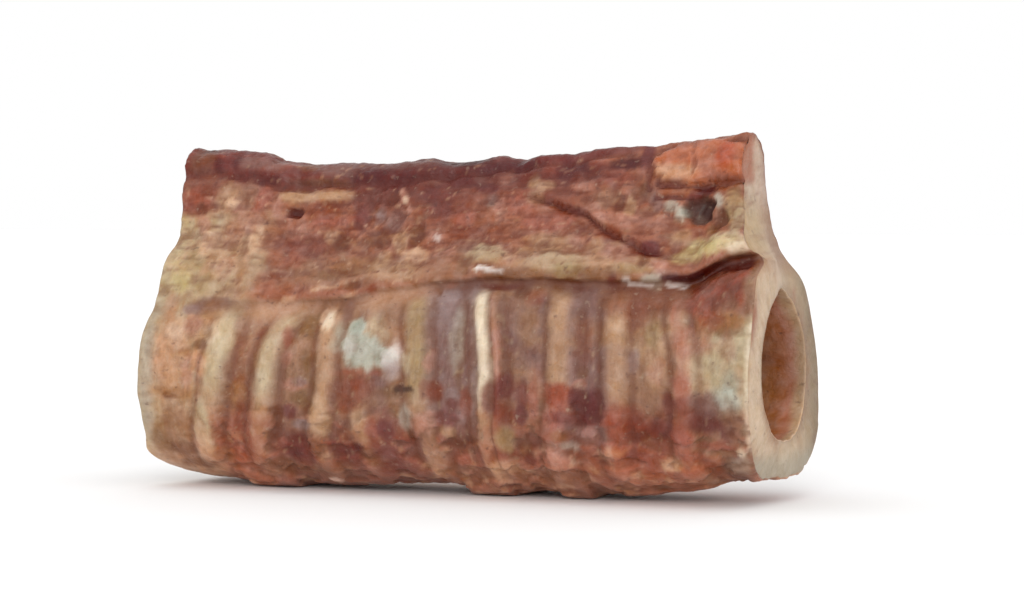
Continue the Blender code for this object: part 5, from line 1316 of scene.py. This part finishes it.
def tissue_material():
    mat = bpy.data.materials.new("dried_tissue")
    mat.use_nodes = True
    nt = mat.node_tree
    nodes, links = nt.nodes, nt.links
    bsdf = nodes["Principled BSDF"]

    def node(kind, **settings):
        n = nodes.new(kind)
        for k, v in settings.items():
            setattr(n, k, v)
        return n

    def attribute(name):
        return node("ShaderNodeAttribute", attribute_name=name)

    def noise(vector, scale, detail, rough=0.55, distortion=0.0):
        n = node("ShaderNodeTexNoise")
        n.inputs["Scale"].default_value = scale
        n.inputs["Detail"].default_value = detail
        n.inputs["Roughness"].default_value = rough
        n.inputs["Distortion"].default_value = distortion
        links.new(vector, n.inputs["Vector"])
        return n.outputs["Fac"]

    def maths(op, a, b=None, clamp=False):
        n = node("ShaderNodeMath", operation=op, use_clamp=clamp)
        for i, value in enumerate((a, b)):
            if value is None:
                continue
            if isinstance(value, (int, float)):
                n.inputs[i].default_value = value
            else:
                links.new(value, n.inputs[i])
        return n.outputs[0]

    def centred(value, amount):
        return maths("MULTIPLY", maths("SUBTRACT", value, 0.5), amount)

    def ramp(value, a, b, lo, hi):
        n = node("ShaderNodeMapRange")
        for key, v in (("From Min", a), ("From Max", b), ("To Min", lo), ("To Max", hi)):
            n.inputs[key].default_value = v
        links.new(value, n.inputs["Value"])
        return n.outputs["Result"]

    def over(base, rgb, amount):
        n = node("ShaderNodeMix", data_type="RGBA")
        n.inputs[7].default_value = (*rgb, 1)
        links.new(base, n.inputs[6])
        links.new(amount, n.inputs[0])
        return n.outputs[2]

    where = node("ShaderNodeTexCoord").outputs["Object"]

    def stretched(sx, sy, sz):
        n = node("ShaderNodeMapping")
        n.inputs["Scale"].default_value = (sx, sy, sz)
        links.new(where, n.inputs["Vector"])
        return n.outputs["Vector"]

    tissue = attribute("tissue").outputs["Color"]
    fibre = attribute("fibre").outputs["Fac"]
    wrinkle = attribute("wrinkle").outputs["Fac"]
    glossy = attribute("gloss").outputs["Fac"]

    grain = noise(where, 1500.0, 4.0, 0.62)
    mottle = noise(where, 460.0, 4.0, 0.6, 0.4)
    along = noise(stretched(140.0, 1300.0, 1300.0), 1.0, 3.0, 0.6, 0.5)
    around = noise(stretched(1400.0, 260.0, 260.0), 1.0, 3.0, 0.6, 0.5)
    lines = maths("ADD", maths("MULTIPLY", centred(along, 1.0), fibre),
                  maths("MULTIPLY", centred(around, 1.0), wrinkle))

    # fine changes of shade: grain, mottling and fibres together
    shade = maths("ADD", centred(grain, 0.32), centred(mottle, 0.55))
    shade = maths("ADD", shade, maths("MULTIPLY", lines, 0.28))
    hsv = node("ShaderNodeHueSaturation")
    links.new(tissue, hsv.inputs["Color"])
    links.new(maths("ADD", shade, 1.0), hsv.inputs["Value"])
    links.new(ramp(mottle, 0.3, 0.7, 1.12, 0.88), hsv.inputs["Saturation"])
    # pale dried specks and dark specks of blood
    specks = noise(where, 900.0, 2.0, 0.5)
    col = over(hsv.outputs["Color"], (0.42, 0.31, 0.22), ramp(specks, 0.66, 0.80, 0.0, 0.3))
    darks = noise(stretched(650.0, 650.0, 900.0), 1.0, 2.0, 0.5)
    col = over(col, (0.06, 0.018, 0.014), ramp(darks, 0.66, 0.76, 0.0, 0.45))
    links.new(col, bsdf.inputs["Base Color"])

    rough = maths("ADD", ramp(glossy, 0.0, 1.0, 0.62, 0.30), centred(mottle, 0.4), True)
    links.new(rough, bsdf.inputs["Roughness"])

    height = maths("ADD", maths("MULTIPLY", grain, 0.35),
                   maths("ADD", maths("MULTIPLY", mottle, 1.0), maths("MULTIPLY", lines, 0.6)))
    bump_node = node("ShaderNodeBump")
    bump_node.inputs["Strength"].default_value = 0.7
    bump_node.inputs["Distance"].default_value = 0.00035
    links.new(height, bump_node.inputs["Height"])
    links.new(bump_node.outputs["Normal"], bsdf.inputs["Normal"])

    bsdf.inputs["Metallic"].default_value = 0.0
    bsdf.inputs["Subsurface Weight"].default_value = 0.08
    bsdf.inputs["Subsurface Radius"].default_value = (1.0, 0.45, 0.28)
    bsdf.inputs["Subsurface Scale"].default_value = 0.0010
    bsdf.inputs["Specular IOR Level"].default_value = 0.34
    return mat


body = make_mesh("trachea_skin", all_pts, quads,
                 {"tissue": all_colour, "gloss": all_gloss, "fibre": all_fibre, "wrinkle": all_wrinkle})
body.data.materials.append(tissue_material())
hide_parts("trachea")
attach(body, "root")

# ====================================================== floor, light and camera
floor_mesh = bpy.data.meshes.new("floor")
half = 3.0
floor_mesh.from_pydata([(-half, -half, -0.0002), (half, -half, -0.0002), (half, half, -0.0002), (-half, half, -0.0002)],
                       [], [(0, 1, 2, 3)])
floor_mesh.update()
floor = bpy.data.objects.new("floor", floor_mesh)
bpy.context.scene.collection.objects.link(floor)
floor_mat = bpy.data.materials.new("floor_white")
floor_mat.use_nodes = True
fb = floor_mat.node_tree.nodes["Principled BSDF"]
fb.inputs["Base Color"].default_value = (0.90, 0.90, 0.90, 1)
fb.inputs["Roughness"].default_value = 0.9
fb.inputs["Specular IOR Level"].default_value = 0.1
floor.data.materials.append(floor_mat)

world = bpy.data.worlds.new("studio")
world.use_nodes = True
world.node_tree.nodes["Background"].inputs["Color"].default_value = (1.0, 1.0, 1.0, 1)
world.node_tree.nodes["Background"].inputs["Strength"].default_value = 1.0
bpy.context.scene.world = world


def sun(name, direction, angle, strength):
    """A far, wide light: direction points from the object towards it."""
    data = bpy.data.lights.new(name, "SUN")
    data.energy = strength
    data.angle = math.radians(angle)
    obj = bpy.data.objects.new(name, data)
    obj.rotation_euler = Vector(direction).to_track_quat("Z", "Y").to_euler()
    bpy.context.scene.collection.objects.link(obj)
    return obj


sun("key", (0.36, -0.90, 0.34), 30.0, 1.15)
sun("top", (0.05, -0.35, 0.90), 60.0, 0.35)

AZ, EL, DISTANCE = math.radians(24.0), math.radians(2.0), 0.520
target = np.array([6.35 + ORIGIN_SHIFT + SETTLE[0], 0.0, 31.4 - REST_HEIGHT]) * MM
back = np.array([math.sin(AZ) * math.cos(EL), -math.cos(AZ) * math.cos(EL), math.sin(EL)])
cam_data = bpy.data.cameras.new("camera")
cam_data.lens = 112.0
cam_data.sensor_width = 36.0
cam_data.clip_start = 0.01
cam_data.clip_end = 20.0
camera = bpy.data.objects.new("camera", cam_data)
camera.location = Vector((target + back * DISTANCE).tolist())
camera.rotation_euler = Vector((-back).tolist()).to_track_quat("-Z", "Y").to_euler()
bpy.context.scene.collection.objects.link(camera)
bpy.context.scene.camera = camera
bpy.context.scene.view_settings.view_transform = "Standard"
bpy.context.scene.view_settings.look = "None"
